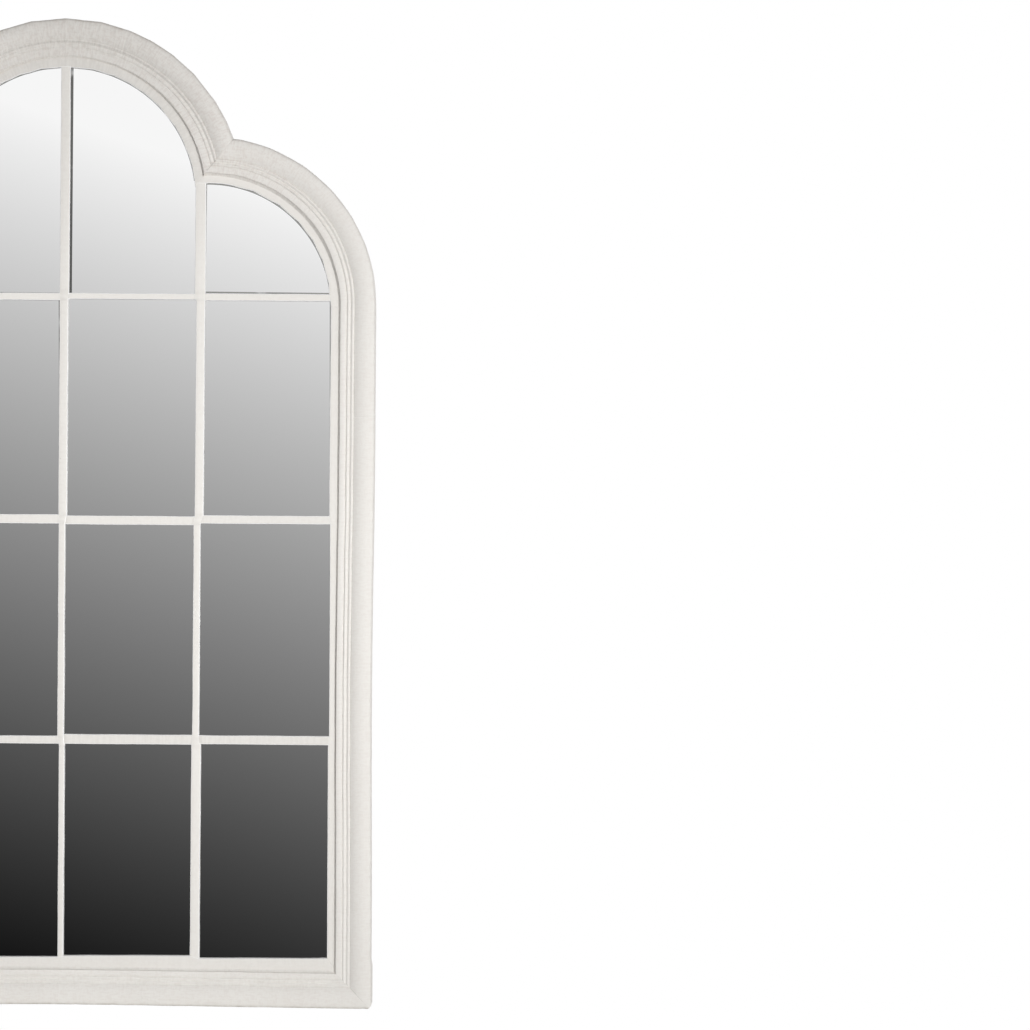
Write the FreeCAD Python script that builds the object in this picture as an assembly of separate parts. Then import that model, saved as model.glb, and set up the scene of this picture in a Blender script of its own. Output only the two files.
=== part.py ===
import FreeCAD
import Part
import math
import os

# A wall mirror framed as a trefoil-headed window.
# A moulded and painted wooden frame of ten members carries a flat inner slip, a lattice of
# halved glazing bars, sixteen silvered panes and a back board.  Two strap hangers with
# swinging rings carry it on the wall, and two bumpers hold its foot off the wall.
#
# X runs to the right, Y runs back into the wall and Z runs up.  The work below measures Z
# from the bottom edge and levels forward from the back of the frame.  save() then puts the
# origin on the wall, midway between the two hangers, at the height of their ring pins.

V = FreeCAD.Vector

# Outline of the frame, in millimetres.  The crown's centre lies crown_lift above the spring of
# the shoulders, and each lower arch piece has a straight leg of leg_length below the spring.
overall_width = 1100.0
overall_height = 1744.0
crown_radius = 314.0
shoulder_radius = 297.0
crown_lift = 192.0
leg_length = 193.0

# The arches are sawn in short flats.  Shares of each sweep where one flat meets the next,
# from the top of the crown down to the notch and from the spring of a shoulder up to it.
crown_flat_shares = (0.0, 0.16, 0.30, 0.41, 0.52, 0.65, 0.80, 0.90, 1.0)
shoulder_flat_shares = (0.0, 0.14, 0.27, 0.40, 0.53, 0.68, 0.85, 1.0)
crown_joint_corner = 2
shoulder_joint_corner = 4

# Widths of the moulding, from the outer edge inwards
band_width = 38.0
bead_c_width = 5.0
groove_width = 3.5
bead_b_width = 4.0
quirk_width = 2.0
bead_a_width = 8.0
wall_width = 6.5
slip_face_width = 14.0
arris_radius = 9.0

# Levels of the build-up behind the face, and heights of the moulding above the slip
board_recess = 4.0
board_thickness = 4.0
glass_thickness = 4.0
flange_thickness = 6.0
lip_edge = 2.0
bead_foot_rise = 8.5
band_crest_rise = 15.0
band_edge_rise = 11.5
band_crest_share = 0.42
bead_a_rise = 2.8
groove_depth = 1.6
quirk_depth = 1.0
lip_overlap = 10.0

# Glazing bars
bar_width = 14.0
web_width = 5.0
upper_bar_rise = 17.0
pane_columns = 4
pane_rows_below = 3
lap_share = 0.4

# Fits
slip_clearance = 0.3
pane_clearance = 0.5
board_clearance = 1.0
bore_clearance = 0.1
running_clearance = 0.3
overrun = 10.0
mitre_allowance_degrees = 3.0

# Dowels across the joints of the frame
dowel_radius = 4.0
dowel_length = 40.0
dowel_end_gap = 1.0
dowel_inset = 27.0
dowel_back_level = 9.0
dowel_front_level = 20.0

# Countersunk screws through the back board into the slip
board_screw_length = 12.0
board_screw_radius = 1.75
board_screw_head_radius = 3.5
board_screw_tip = 2.5
bottom_screw_shares = (0.26, 0.78)
side_screw_shares = (0.14, 0.42, 0.70, 0.95)
shoulder_screw_shares = (0.35, 0.75)
crown_screw_shares = (0.18, 0.62)

# Strap hangers and their rings
hanger_rise = 105.0
hanger_inset = 28.0
strap_width = 16.0
strap_thickness = 1.2
strap_length = 56.0
ring_wire_radius = 2.0
ring_inner_width = 24.0
ring_inner_height = 20.0
ring_corner_radius = 4.0
near_screw_drop = 31.0
far_screw_drop = 47.0
hanger_screw_length = 16.0
hanger_screw_radius = 1.75
hanger_screw_head_radius = 4.0
hanger_screw_head_height = 2.4
hanger_screw_tip = 3.0

# Rubber bumpers on the back of the stiles
bumper_height = 7.5
bumper_base_radius = 9.0
bumper_face_radius = 7.0
bumper_edge_radius = 1.5
bumper_inset = 28.0
bumper_rise = 70.0

# Places worked out from the sizes above.  The shoulders spring below the crown's centre, the
# legs run down from there to the stiles, and the bars and hangers are set out from both.
half_width = overall_width / 2
crown_centre = (0.0, overall_height - crown_radius)
spring_height = crown_centre[1] - crown_lift
shoulder_centre = (half_width - shoulder_radius, spring_height)
leg_joint_height = spring_height - leg_length
upper_bar_height = spring_height + upper_bar_rise
hanger_height = leg_joint_height + hanger_rise

bead_c_inset = band_width
groove_inset = bead_c_inset + bead_c_width
bead_b_inset = groove_inset + groove_width
quirk_inset = bead_b_inset + bead_b_width
bead_a_inset = quirk_inset + quirk_width
wall_inset = bead_a_inset + bead_a_width
lip_inset = wall_inset + wall_width
sight_inset = lip_inset + slip_face_width
rebate_inset = lip_inset - lip_overlap
glass_rebate = (bar_width - web_width) / 2
glass_rebate_inset = sight_inset - glass_rebate

glass_back = board_recess + board_thickness
glass_front = glass_back + glass_thickness
slip_front = glass_front + flange_thickness
lap_level = glass_front + flange_thickness * lap_share
bead_foot = slip_front + bead_foot_rise
band_crest = slip_front + band_crest_rise
band_edge = slip_front + band_edge_rise

pane_width = (2 * (half_width - sight_inset) - (pane_columns - 1) * bar_width) / pane_columns
pane_pitch = pane_width + bar_width
row_pitch = (upper_bar_height + bar_width / 2 - sight_inset) / pane_rows_below
vertical_bar_places = [(column - pane_columns / 2) * pane_pitch for column in range(1, pane_columns)]
cross_bar_heights = [upper_bar_height - row * row_pitch for row in range(pane_rows_below)]

hanger_place = half_width - hanger_inset
loop_inner_radius = ring_wire_radius + running_clearance
loop_outer_radius = loop_inner_radius + strap_thickness
wall_gap = bumper_height


def point(place, level):
    """Point of the model at a place (x, z) on the elevation and a level in front of the back."""
    return V(place[0], -level, place[1])


def polar(centre, radius, degrees):
    """Place at an angle round a centre, counted from the right and upwards."""
    angle = math.radians(degrees)
    return (centre[0] + radius * math.cos(angle), centre[1] + radius * math.sin(angle))


def bearing(centre, place):
    """Angle in degrees at which a place is seen from a centre."""
    return math.degrees(math.atan2(place[1] - centre[1], place[0] - centre[0]))


def notch_place(inset):
    """Place on the right where the crown arc and the shoulder arc cross, drawn in by inset."""
    first = crown_radius - inset
    second = shoulder_radius - inset
    across = shoulder_centre[0] - crown_centre[0]
    down = shoulder_centre[1] - crown_centre[1]
    apart = math.hypot(across, down)
    along = (first ** 2 - second ** 2 + apart ** 2) / (2 * apart)
    aside = math.sqrt(first ** 2 - along ** 2)
    return (
        crown_centre[0] + (across * along - down * aside) / apart,
        crown_centre[1] + (down * along + across * aside) / apart,
    )


notch = notch_place(0)
cusp = notch_place(sight_inset)
crown_notch_angle = bearing(crown_centre, notch)
shoulder_notch_angle = bearing(shoulder_centre, notch)
crown_corner_angles = [90 - share * (90 - crown_notch_angle) for share in crown_flat_shares]
shoulder_corner_angles = [share * shoulder_notch_angle for share in shoulder_flat_shares]
crown_joint_angle = crown_corner_angles[crown_joint_corner]
shoulder_joint_angle = shoulder_corner_angles[shoulder_joint_corner]


def mirrored(shape):
    """The same shape on the left-hand side."""
    return shape.mirror(V(0, 0, 0), V(1, 0, 0))


def section(start, moves, place):
    """Face bounded by lines and arcs.  A move is (end,) for a line or (through, end) for an arc."""
    edges = []
    here = start
    for move in moves:
        end = move[-1]
        if len(move) == 1:
            curve = Part.LineSegment(place(*here), place(*end))
        else:
            curve = Part.Arc(place(*here), place(*move[0]), place(*end))
        edges.append(curve.toShape())
        here = end
    return Part.Face(Part.Wire(edges))


def block(left, right, bottom, top, back, front):
    """Upright box between two sides, two heights and two levels."""
    return Part.makeBox(right - left, front - back, top - bottom, V(left, -front, bottom))


def trefoil(inset, back, front):
    """Solid that fills the window outline, drawn in by inset, between two levels."""
    side = half_width - inset
    meeting = notch_place(inset)
    shoulder_middle = polar(shoulder_centre, shoulder_radius - inset, bearing(shoulder_centre, meeting) / 2)
    crown_top = (crown_centre[0], overall_height - inset)
    outline = [
        ((side, inset),),
        ((side, spring_height),),
        (shoulder_middle, meeting),
        (crown_top, (-meeting[0], meeting[1])),
        ((-shoulder_middle[0], shoulder_middle[1]), (-side, spring_height)),
        ((-side, inset),),
    ]
    face = section((-side, inset), outline, lambda x, z: point((x, z), back))
    return face.extrude(V(0, back - front, 0))


def rod(place, level, direction, radius, length):
    """Round rod centred on a place and lying along a direction of the elevation."""
    axis = V(direction[0], 0, direction[1])
    return Part.makeCylinder(radius, length, point(place, level) - axis * (length / 2), axis)


def turned(start, moves, place, level):
    """Solid of revolution about the Y axis at a place.  Moves give a radius and a rise off the level."""
    face = section(start, moves, lambda radius, rise: point((place[0] + radius, place[1]), level + rise))
    return face.revolve(point(place, level), V(0, 1, 0), 360)


def moulding(place):
    """Section of a frame member with its beads, bevelled wall, lip and rebate."""
    foot = bead_foot
    moves = [
        ((-overrun, band_edge),),
        ((0, band_edge),),
        ((band_width * band_crest_share, band_crest), (bead_c_inset, foot)),
        ((bead_c_inset + bead_c_width / 2, foot + bead_c_width / 2), (groove_inset, foot)),
        ((groove_inset + groove_width / 2, foot - groove_depth), (bead_b_inset, foot)),
        ((bead_b_inset + bead_b_width / 2, foot + bead_b_width / 2), (quirk_inset, foot)),
        ((quirk_inset + quirk_width / 2, foot - quirk_depth), (bead_a_inset, foot)),
        ((bead_a_inset + bead_a_width / 2, foot + bead_a_rise), (wall_inset, foot)),
        ((lip_inset, slip_front + lip_edge),),
        ((lip_inset, slip_front),),
        ((rebate_inset, slip_front),),
        ((rebate_inset, 0),),
        ((-overrun, 0),),
    ]
    return section((-overrun, 0), moves, place)


def slip_section(place):
    """Section of the inner slip, with the rebate that takes the edge of the glass."""
    outer = rebate_inset + slip_clearance
    moves = [
        ((outer, slip_front),),
        ((sight_inset, slip_front),),
        ((sight_inset, glass_front),),
        ((glass_rebate_inset, glass_front),),
        ((glass_rebate_inset, glass_back),),
        ((outer, glass_back),),
    ]
    return section((outer, glass_back), moves, place)


def swept_round(make_section, centre, radius, start, end):
    """A section carried round an arch from one angle to another."""
    face = make_section(lambda inset, level: point((centre[0] + radius - inset, centre[1]), level))
    middle = point(centre, 0)
    face.rotate(middle, V(0, -1, 0), start)
    return face.revolve(middle, V(0, -1, 0), end - start)


def swept_up(make_section, bottom, top):
    """A section carried up the right-hand side."""
    face = make_section(lambda inset, level: point((half_width - inset, bottom), level))
    return face.extrude(V(0, 0, top - bottom))


def swept_across(make_section):
    """A section carried along the bottom from side to side."""
    face = make_section(lambda inset, level: point((-half_width, inset), level))
    return face.extrude(V(overall_width, 0, 0))


def beyond(place, direction):
    """Tool that removes everything to the left of a line drawn through a place on the elevation."""
    reach = overall_height
    along = (direction[0] * reach, direction[1] * reach)
    aside = (-along[1], along[0])
    corners = [
        (place[0] - along[0], place[1] - along[1]),
        (place[0] + along[0], place[1] + along[1]),
        (place[0] + along[0] + aside[0], place[1] + along[1] + aside[1]),
        (place[0] - along[0] + aside[0], place[1] - along[1] + aside[1]),
    ]
    wire = Part.makePolygon([point(corner, -overrun) for corner in corners + corners[:1]])
    return Part.Face(wire).extrude(V(0, -(band_crest + 2 * overrun), 0))


def unit(start, end):
    """Unit direction from one place to another."""
    length = math.hypot(end[0] - start[0], end[1] - start[1])
    return ((end[0] - start[0]) / length, (end[1] - start[1]) / length)


def arris_section(place):
    """Section of what is sawn off outside the frame's edge and its rounded front arris."""
    centre_level = band_crest - arris_radius
    lean = arris_radius * math.sqrt(0.5)
    outside = -2 * overrun
    moves = [
        ((0, -overrun),),
        ((0, centre_level),),
        ((arris_radius - lean, centre_level + lean), (arris_radius, band_crest)),
        ((arris_radius, band_crest + overrun),),
        ((outside, band_crest + overrun),),
        ((outside, -overrun),),
    ]
    return section((outside, -overrun), moves, place)


def flat_tool(start, end):
    """Tool that saws one outer flat and rounds its arris.  The frame lies left of start to end."""
    along = unit(start, end)
    inward = (-along[1], along[0])
    length = math.hypot(end[0] - start[0], end[1] - start[1])

    def place(inset, level):
        x = start[0] + inward[0] * inset - along[0] * overrun
        z = start[1] + inward[1] * inset - along[1] * overrun
        return point((x, z), level)

    return arris_section(place).extrude(V(along[0], 0, along[1]) * (length + 2 * overrun))


def corner_tool():
    """Tool that carries the same rounding about the bottom right corner, seen from the front."""
    centre = (half_width - arris_radius, arris_radius)
    face = arris_section(lambda inset, level: point((half_width - inset, arris_radius), level))
    return face.revolve(point(centre, 0), V(0, 1, 0), 90)


def flats_round(centre, radius, angles):
    """Saw tools for the flats between a run of corner angles."""
    rising = sorted(angles)
    corners = [polar(centre, radius, angle) for angle in rising]
    return [flat_tool(start, end) for start, end in zip(corners, corners[1:])]


# Mitres, each as a place and a direction along the cut
corner_mitre = ((half_width, 0.0), unit((half_width, 0.0), (half_width - sight_inset, sight_inset)))
notch_mitre = (notch, unit(notch, cusp))


def reversed_cut(cut):
    """The same cut, keeping its other side."""
    place, direction = cut
    return (place, (-direction[0], -direction[1]))


def square_to(direction):
    """Direction square to a given one."""
    return (-direction[1], direction[0])


# Joints of the right half of the frame, each as the middle of its dowels and their direction
corner_joint = ((half_width - dowel_inset, dowel_inset), square_to(corner_mitre[1]))
leg_joint = ((half_width - dowel_inset, leg_joint_height), (0.0, 1.0))
shoulder_joint = (
    polar(shoulder_centre, shoulder_radius - dowel_inset, shoulder_joint_angle),
    square_to(polar((0, 0), 1, shoulder_joint_angle)),
)
notch_joint = (notch_place(dowel_inset), square_to(notch_mitre[1]))
crown_joint = (
    polar(crown_centre, crown_radius - dowel_inset, crown_joint_angle),
    square_to(polar((0, 0), 1, crown_joint_angle)),
)
right_joints = [corner_joint, leg_joint, shoulder_joint, notch_joint, crown_joint]


def dowels_at(joint):
    """The two dowels across a joint."""
    place, direction = joint
    levels = (dowel_back_level, dowel_front_level)
    return [rod(place, level, direction, dowel_radius, dowel_length) for level in levels]


def dowel_holes(joint):
    """The holes for the two dowels across a joint."""
    place, direction = joint
    levels = (dowel_back_level, dowel_front_level)
    length = dowel_length + 2 * dowel_end_gap
    return [rod(place, level, direction, dowel_radius + bore_clearance, length) for level in levels]


def bottom_rail():
    right_cut = beyond(*reversed_cut(corner_mitre))
    right_tools = [right_cut, corner_tool()] + dowel_holes(corner_joint)
    tools = [flat_tool((-half_width, 0.0), (half_width, 0.0))]
    tools += right_tools + [mirrored(tool) for tool in right_tools]
    return swept_across(moulding).cut(tools)


def right_stile():
    tools = [flat_tool((half_width, 0.0), (half_width, leg_joint_height))]
    tools += [beyond(*corner_mitre), corner_tool()]
    tools += dowel_holes(corner_joint) + dowel_holes(leg_joint)
    return swept_up(moulding, 0, leg_joint_height).cut(tools)


def right_lower_arch():
    """Straight leg and the lower half of the right shoulder, sawn from one board."""
    leg = swept_up(moulding, leg_joint_height, spring_height)
    bend = swept_round(moulding, shoulder_centre, shoulder_radius, 0, shoulder_joint_angle)
    corners = shoulder_corner_angles[: shoulder_joint_corner + 1]
    tools = [flat_tool((half_width, leg_joint_height), (half_width, spring_height))]
    tools += flats_round(shoulder_centre, shoulder_radius, corners)
    tools += dowel_holes(leg_joint) + dowel_holes(shoulder_joint)
    tools += hanger_holes()
    return leg.fuse(bend).removeSplitter().cut(tools)


def right_upper_arch():
    end = bearing(shoulder_centre, cusp) + mitre_allowance_degrees
    bend = swept_round(moulding, shoulder_centre, shoulder_radius, shoulder_joint_angle, end)
    corners = shoulder_corner_angles[shoulder_joint_corner:]
    tools = flats_round(shoulder_centre, shoulder_radius, corners)
    tools += [beyond(*reversed_cut(notch_mitre))]
    tools += dowel_holes(shoulder_joint) + dowel_holes(notch_joint)
    return bend.cut(tools)


def right_crown_segment():
    start = bearing(crown_centre, cusp) - mitre_allowance_degrees
    bend = swept_round(moulding, crown_centre, crown_radius, start, crown_joint_angle)
    tools = flats_round(crown_centre, crown_radius, crown_corner_angles[crown_joint_corner:])
    tools += [beyond(*notch_mitre)]
    tools += dowel_holes(notch_joint) + dowel_holes(crown_joint)
    return bend.cut(tools)


def crown_top_segment():
    bend = swept_round(moulding, crown_centre, crown_radius, crown_joint_angle, 180 - crown_joint_angle)
    right_tools = flats_round(crown_centre, crown_radius, crown_corner_angles[: crown_joint_corner + 1])
    right_tools += dowel_holes(crown_joint)
    return bend.cut(right_tools + [mirrored(tool) for tool in right_tools])


def frame_dowels():
    right_half = [dowel for joint in right_joints for dowel in dowels_at(joint)]
    return Part.makeCompound(right_half + [mirrored(dowel) for dowel in right_half])


def bottom_slip():
    right_cut = beyond(*reversed_cut(corner_mitre))
    return swept_across(slip_section).cut([right_cut, mirrored(right_cut)] + board_screw_holes())


def right_slip():
    rail = swept_up(slip_section, 0, spring_height)
    return rail.cut([beyond(*corner_mitre)] + board_screw_holes())


def right_shoulder_slip():
    end = bearing(shoulder_centre, cusp) + mitre_allowance_degrees
    bend = swept_round(slip_section, shoulder_centre, shoulder_radius, 0, end)
    return bend.cut([beyond(*reversed_cut(notch_mitre))] + board_screw_holes())


def crown_slip():
    start = bearing(crown_centre, cusp) - mitre_allowance_degrees
    bend = swept_round(slip_section, crown_centre, crown_radius, start, 180 - start)
    right_cut = beyond(*notch_mitre)
    return bend.cut([right_cut, mirrored(right_cut)] + board_screw_holes())


def glazing_bar(left, right, bottom, top, grow_x, grow_z):
    """Bar of T section, fitted to the slip all round.  The web is narrower by the glass rebates."""
    flange = block(left, right, bottom, top, glass_front, slip_front)
    flange = flange.common(trefoil(sight_inset, glass_front, slip_front))
    web = block(left + grow_x, right - grow_x, bottom + grow_z, top - grow_z, glass_back, glass_front)
    web = web.common(trefoil(glass_rebate_inset, glass_back, glass_front))
    return flange.fuse(web).removeSplitter()


def bar_top(place):
    """Height that an upright bar may reach: the crown, or the cusp where it stands under a shoulder."""
    under_shoulder = abs(place) + bar_width / 2 > cusp[0]
    return notch_place(glass_rebate_inset)[1] if under_shoulder else overall_height


def vertical_bar(place):
    """Upright bar, notched from behind where the cross bars pass."""
    half = bar_width / 2
    bar = glazing_bar(place - half, place + half, 0, bar_top(place), glass_rebate, 0)
    tools = []
    for height in cross_bar_heights:
        sides = (place - bar_width, place + bar_width)
        tools.append(block(*sides, height - web_width / 2, height + web_width / 2, 0, glass_front))
        tools.append(block(*sides, height - half, height + half, glass_front, lap_level))
    return bar.cut(tools)


def cross_bar(height):
    """Level bar, notched from the front where the upright bars pass."""
    half = bar_width / 2
    bar = glazing_bar(-half_width, half_width, height - half, height + half, 0, glass_rebate)
    tools = []
    for place in vertical_bar_places:
        heights = (height - bar_width, height + bar_width)
        tools.append(block(place - half, place + half, *heights, lap_level, slip_front + overrun))
    return bar.cut(tools)


def pane(left, right, bottom, top):
    """One silvered pane between the webs of the bars, trimmed to the rebate of the slip."""
    sheet = block(left, right, bottom, top, glass_back, glass_front)
    return sheet.common(trefoil(glass_rebate_inset + pane_clearance, glass_back, glass_front))


def panes():
    """All the panes by name, from the left and from the top."""
    edge = web_width / 2 + pane_clearance
    lefts = [-half_width] + [place + edge for place in vertical_bar_places]
    rights = [place - edge for place in vertical_bar_places] + [half_width]
    tops = [overall_height] + [height - edge for height in cross_bar_heights]
    bottoms = [height + edge for height in cross_bar_heights] + [0.0]
    row_names = ("head", "upper", "middle", "lower")
    found = {}
    for row, row_name in enumerate(row_names):
        for column in range(pane_columns):
            name = f"{row_name}_pane_{column + 1}"
            found[name] = pane(lefts[column], rights[column], bottoms[row], tops[row])
    return found


def board_screw_places():
    """Places of the back board's screws, on the middle line of the slip's back."""
    inset = (rebate_inset + slip_clearance + glass_rebate_inset) / 2
    side = half_width - inset
    shoulder_end = bearing(shoulder_centre, cusp)
    crown_end = bearing(crown_centre, cusp)
    places = [(side * share, inset) for share in bottom_screw_shares]
    places += [(side, spring_height * share) for share in side_screw_shares]
    for share in shoulder_screw_shares:
        places.append(polar(shoulder_centre, shoulder_radius - inset, shoulder_end * share))
    for share in crown_screw_shares:
        places.append(polar(crown_centre, crown_radius - inset, 90 - (90 - crown_end) * share))
    return places + [(-x, z) for x, z in places]


def board_screw(place, clearance):
    """Countersunk screw with its head flush in the board, or the hole for it."""
    head = board_screw_head_radius + clearance
    shank = board_screw_radius + clearance
    end = board_screw_length + clearance
    moves = [
        ((head, 0),),
        ((shank, head - shank),),
        ((shank, end - board_screw_tip),),
        ((0, end),),
        ((0, 0),),
    ]
    return turned((0, 0), moves, place, board_recess)


def board_screws():
    return Part.makeCompound([board_screw(place, 0) for place in board_screw_places()])


def board_screw_holes():
    return [board_screw(place, bore_clearance) for place in board_screw_places()]


def back_board():
    board = trefoil(rebate_inset + board_clearance, board_recess, glass_back)
    return board.cut(board_screw_holes())


def strap_outline(place, level):
    """Face of the strap on the elevation, straight at the loop and round at the foot."""
    half = strap_width / 2
    foot_middle = strap_length - half
    moves = [
        ((half, 0),),
        ((half, -foot_middle),),
        ((0, -strap_length), (-half, -foot_middle)),
        ((-half, 0),),
    ]
    return section((-half, 0), moves, lambda x, z: point((place[0] + x, place[1] + z), level))


def right_hanger_strap():
    """Strap of sheet steel, rolled into a loop round the bar of its ring."""
    place = (hanger_place, hanger_height)
    plate = strap_outline(place, 0).extrude(V(0, strap_thickness, 0))
    start = V(place[0] - strap_width / 2, loop_outer_radius, place[1])
    loop = Part.makeCylinder(loop_outer_radius, strap_width, start, V(1, 0, 0))
    bore = Part.makeCylinder(loop_inner_radius, strap_width, start, V(1, 0, 0))
    return plate.fuse(loop).removeSplitter().cut([bore] + hanger_holes())


def hanger_screw_places():
    drops = (near_screw_drop, far_screw_drop)
    return [(hanger_place, hanger_height - drop) for drop in drops]


def hanger_screw(place):
    """Pan-headed screw through the strap into the back of the frame."""
    depth = hanger_screw_length
    moves = [
        ((hanger_screw_radius, depth - hanger_screw_tip),),
        ((hanger_screw_radius, 0),),
        ((hanger_screw_head_radius, 0),),
        ((hanger_screw_head_radius, -hanger_screw_head_height / 2),),
        ((0, -hanger_screw_head_height),),
        ((0, depth),),
    ]
    return turned((0, depth), moves, place, -strap_thickness)


def hanger_screws():
    right_pair = [hanger_screw(place) for place in hanger_screw_places()]
    return Part.makeCompound(right_pair + [mirrored(screw) for screw in right_pair])


def hanger_holes():
    """Holes for the hanger's screws through the strap and into the frame."""
    radius = hanger_screw_radius + bore_clearance
    depth = hanger_screw_length + bore_clearance
    starts = [point(place, -strap_thickness) for place in hanger_screw_places()]
    return [Part.makeCylinder(radius, depth, start, V(0, -1, 0)) for start in starts]


def right_hanger_ring():
    """D ring of round wire, hanging from the loop of its strap."""
    half = ring_inner_width / 2 + ring_wire_radius
    corner = ring_corner_radius
    lean = corner * (1 - math.sqrt(0.5))
    straight = ring_inner_height + ring_wire_radius - half
    moves = [
        ((half - corner, 0),),
        ((half - lean, -lean), (half, -corner)),
        ((half, -straight),),
        ((0, -straight - half), (-half, -straight)),
        ((-half, -corner),),
        ((-half + lean, -lean), (-half + corner, 0)),
        ((0, 0),),
    ]
    middle = V(hanger_place, loop_outer_radius, hanger_height)
    path = section((0, 0), moves, lambda x, z: middle + V(x, 0, z)).OuterWire
    ring = Part.BRepOffsetAPI.MakePipeShell(path)
    ring.add(Part.Wire(Part.makeCircle(ring_wire_radius, middle, V(1, 0, 0))))
    ring.build()
    ring.makeSolid()
    return Part.Solid(ring.shape())


def right_bumper():
    """Round rubber bumper stuck to the back of the stile."""
    edge = bumper_edge_radius
    lean = edge * (1 - math.sqrt(0.5))
    face = bumper_face_radius
    moves = [
        ((bumper_base_radius, 0),),
        ((face, -bumper_height + edge),),
        ((face - lean, -bumper_height + lean), (face - edge, -bumper_height)),
        ((0, -bumper_height),),
        ((0, 0),),
    ]
    return turned((0, 0), moves, (half_width - bumper_inset, bumper_rise), 0)


def save(name, shape):
    """Write one piece, with the origin on the wall at the height of the ring pins."""
    placed = shape.copy()
    placed.translate(V(0, -wall_gap, -hanger_height))
    placed.exportStep(f"parts/{name}.step")


def save_pair(name, shape):
    """Write a right-hand piece and its left-hand twin."""
    save(f"right_{name}", shape)
    save(f"left_{name}", mirrored(shape))


os.makedirs("parts", exist_ok=True)

save("bottom_rail", bottom_rail())
save_pair("stile", right_stile())
save_pair("lower_arch", right_lower_arch())
save_pair("upper_arch", right_upper_arch())
save_pair("crown_segment", right_crown_segment())
save("crown_top_segment", crown_top_segment())
save("frame_dowels", frame_dowels())

save("bottom_slip", bottom_slip())
save_pair("slip", right_slip())
save_pair("shoulder_slip", right_shoulder_slip())
save("crown_slip", crown_slip())

for bar_name, bar_place in zip(("left", "centre", "right"), vertical_bar_places):
    save(f"{bar_name}_vertical_bar", vertical_bar(bar_place))
for bar_name, bar_height in zip(("upper", "middle", "lower"), cross_bar_heights):
    save(f"{bar_name}_cross_bar", cross_bar(bar_height))
for pane_name, pane_shape in panes().items():
    save(pane_name, pane_shape)

save("back_board", back_board())
save("back_board_screws", board_screws())
save_pair("hanger_strap", right_hanger_strap())
save_pair("hanger_ring", right_hanger_ring())
save("hanger_screws", hanger_screws())
save_pair("bumper", right_bumper())
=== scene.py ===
# A wall mirror framed as a trefoil-headed window: brushed off-white moulding, flat slip,
# hand-planed glazing bars, sixteen silvered panes, and the board and hangers at its back.
# X runs to the right, Y runs back into the wall and Z runs up, all in metres.

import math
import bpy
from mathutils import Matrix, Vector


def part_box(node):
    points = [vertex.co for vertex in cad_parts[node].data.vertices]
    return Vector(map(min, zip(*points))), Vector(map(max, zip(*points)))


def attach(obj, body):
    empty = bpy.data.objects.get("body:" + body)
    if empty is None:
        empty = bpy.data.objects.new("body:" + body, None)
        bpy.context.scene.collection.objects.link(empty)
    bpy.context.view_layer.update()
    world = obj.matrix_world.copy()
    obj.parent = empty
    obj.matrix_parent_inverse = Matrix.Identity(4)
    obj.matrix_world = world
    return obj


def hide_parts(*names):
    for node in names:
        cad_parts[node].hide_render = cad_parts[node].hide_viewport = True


bl_info = {
    "name": "Trefoil Window Mirror",
    "version": (1, 0, 0),
    "blender": (4, 5, 0),
    "location": "View3D > Sidebar > Mirror",
    "description": "Dresses the packed window mirror in its moulding, bars, panes and fittings",
    "category": "Object",
}

from functools import partial

import bmesh
import bpy
from bpy.props import FloatProperty, FloatVectorProperty, PointerProperty
from mathutils import Matrix, Vector, noise

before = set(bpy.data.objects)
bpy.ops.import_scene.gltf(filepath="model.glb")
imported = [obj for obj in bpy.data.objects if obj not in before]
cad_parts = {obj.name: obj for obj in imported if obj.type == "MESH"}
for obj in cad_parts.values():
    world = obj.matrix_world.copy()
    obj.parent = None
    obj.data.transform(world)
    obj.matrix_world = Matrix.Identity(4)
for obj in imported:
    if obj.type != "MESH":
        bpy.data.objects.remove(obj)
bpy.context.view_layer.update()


# Sizes and colours that a user would change

def linear(hex_colour):
    """Linear red, green and blue of an sRGB hex colour."""
    shares = [int(hex_colour[at:at + 2], 16) / 255 for at in (1, 3, 5)]
    return tuple(s / 12.92 if s <= 0.04045 else ((s + 0.055) / 1.055) ** 2.4 for s in shares)


def length(name, description, default):
    """A length property in metres."""
    return FloatProperty(name=name, description=description, default=default, unit="LENGTH", precision=4)


def amount(name, description, default, subtype="NONE"):
    """A plain number, an angle or a power."""
    return FloatProperty(name=name, description=description, default=default, subtype=subtype)


def position(name, description, default):
    """A place in metres."""
    return FloatVectorProperty(
        name=name, description=description, default=default, subtype="TRANSLATION", size=3
    )


def tint(name, description, hex_colour):
    """A colour property from an sRGB hex colour."""
    return FloatVectorProperty(
        name=name, description=description, default=linear(hex_colour), subtype="COLOR", size=3, min=0, max=1
    )


class MirrorOutline(bpy.types.PropertyGroup):
    """Outline of the frame and its joints."""

    half_width: length("Half width", "From the centre line to the edge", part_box("right_lower_arch")[1].x)
    bottom: length("Bottom", "Height of the bottom edge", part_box("bottom_rail")[0].z)
    frame_back: length("Frame back", "Depth at which the back of the frame lies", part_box("bottom_rail")[1].y)
    crown_centre: length("Crown centre", "Height of the crown arc's centre", 0.280)
    crown_radius: length("Crown radius", "Outer radius of the crown arc", 0.314)
    spring: length("Spring", "Height at which the shoulder arcs spring", 0.088)
    shoulder_radius: length("Shoulder radius", "Outer radius of the shoulder arcs", 0.297)
    leg_joint: length("Leg joint", "Height of the joint of stile and arch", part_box("right_stile")[1].z)


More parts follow.
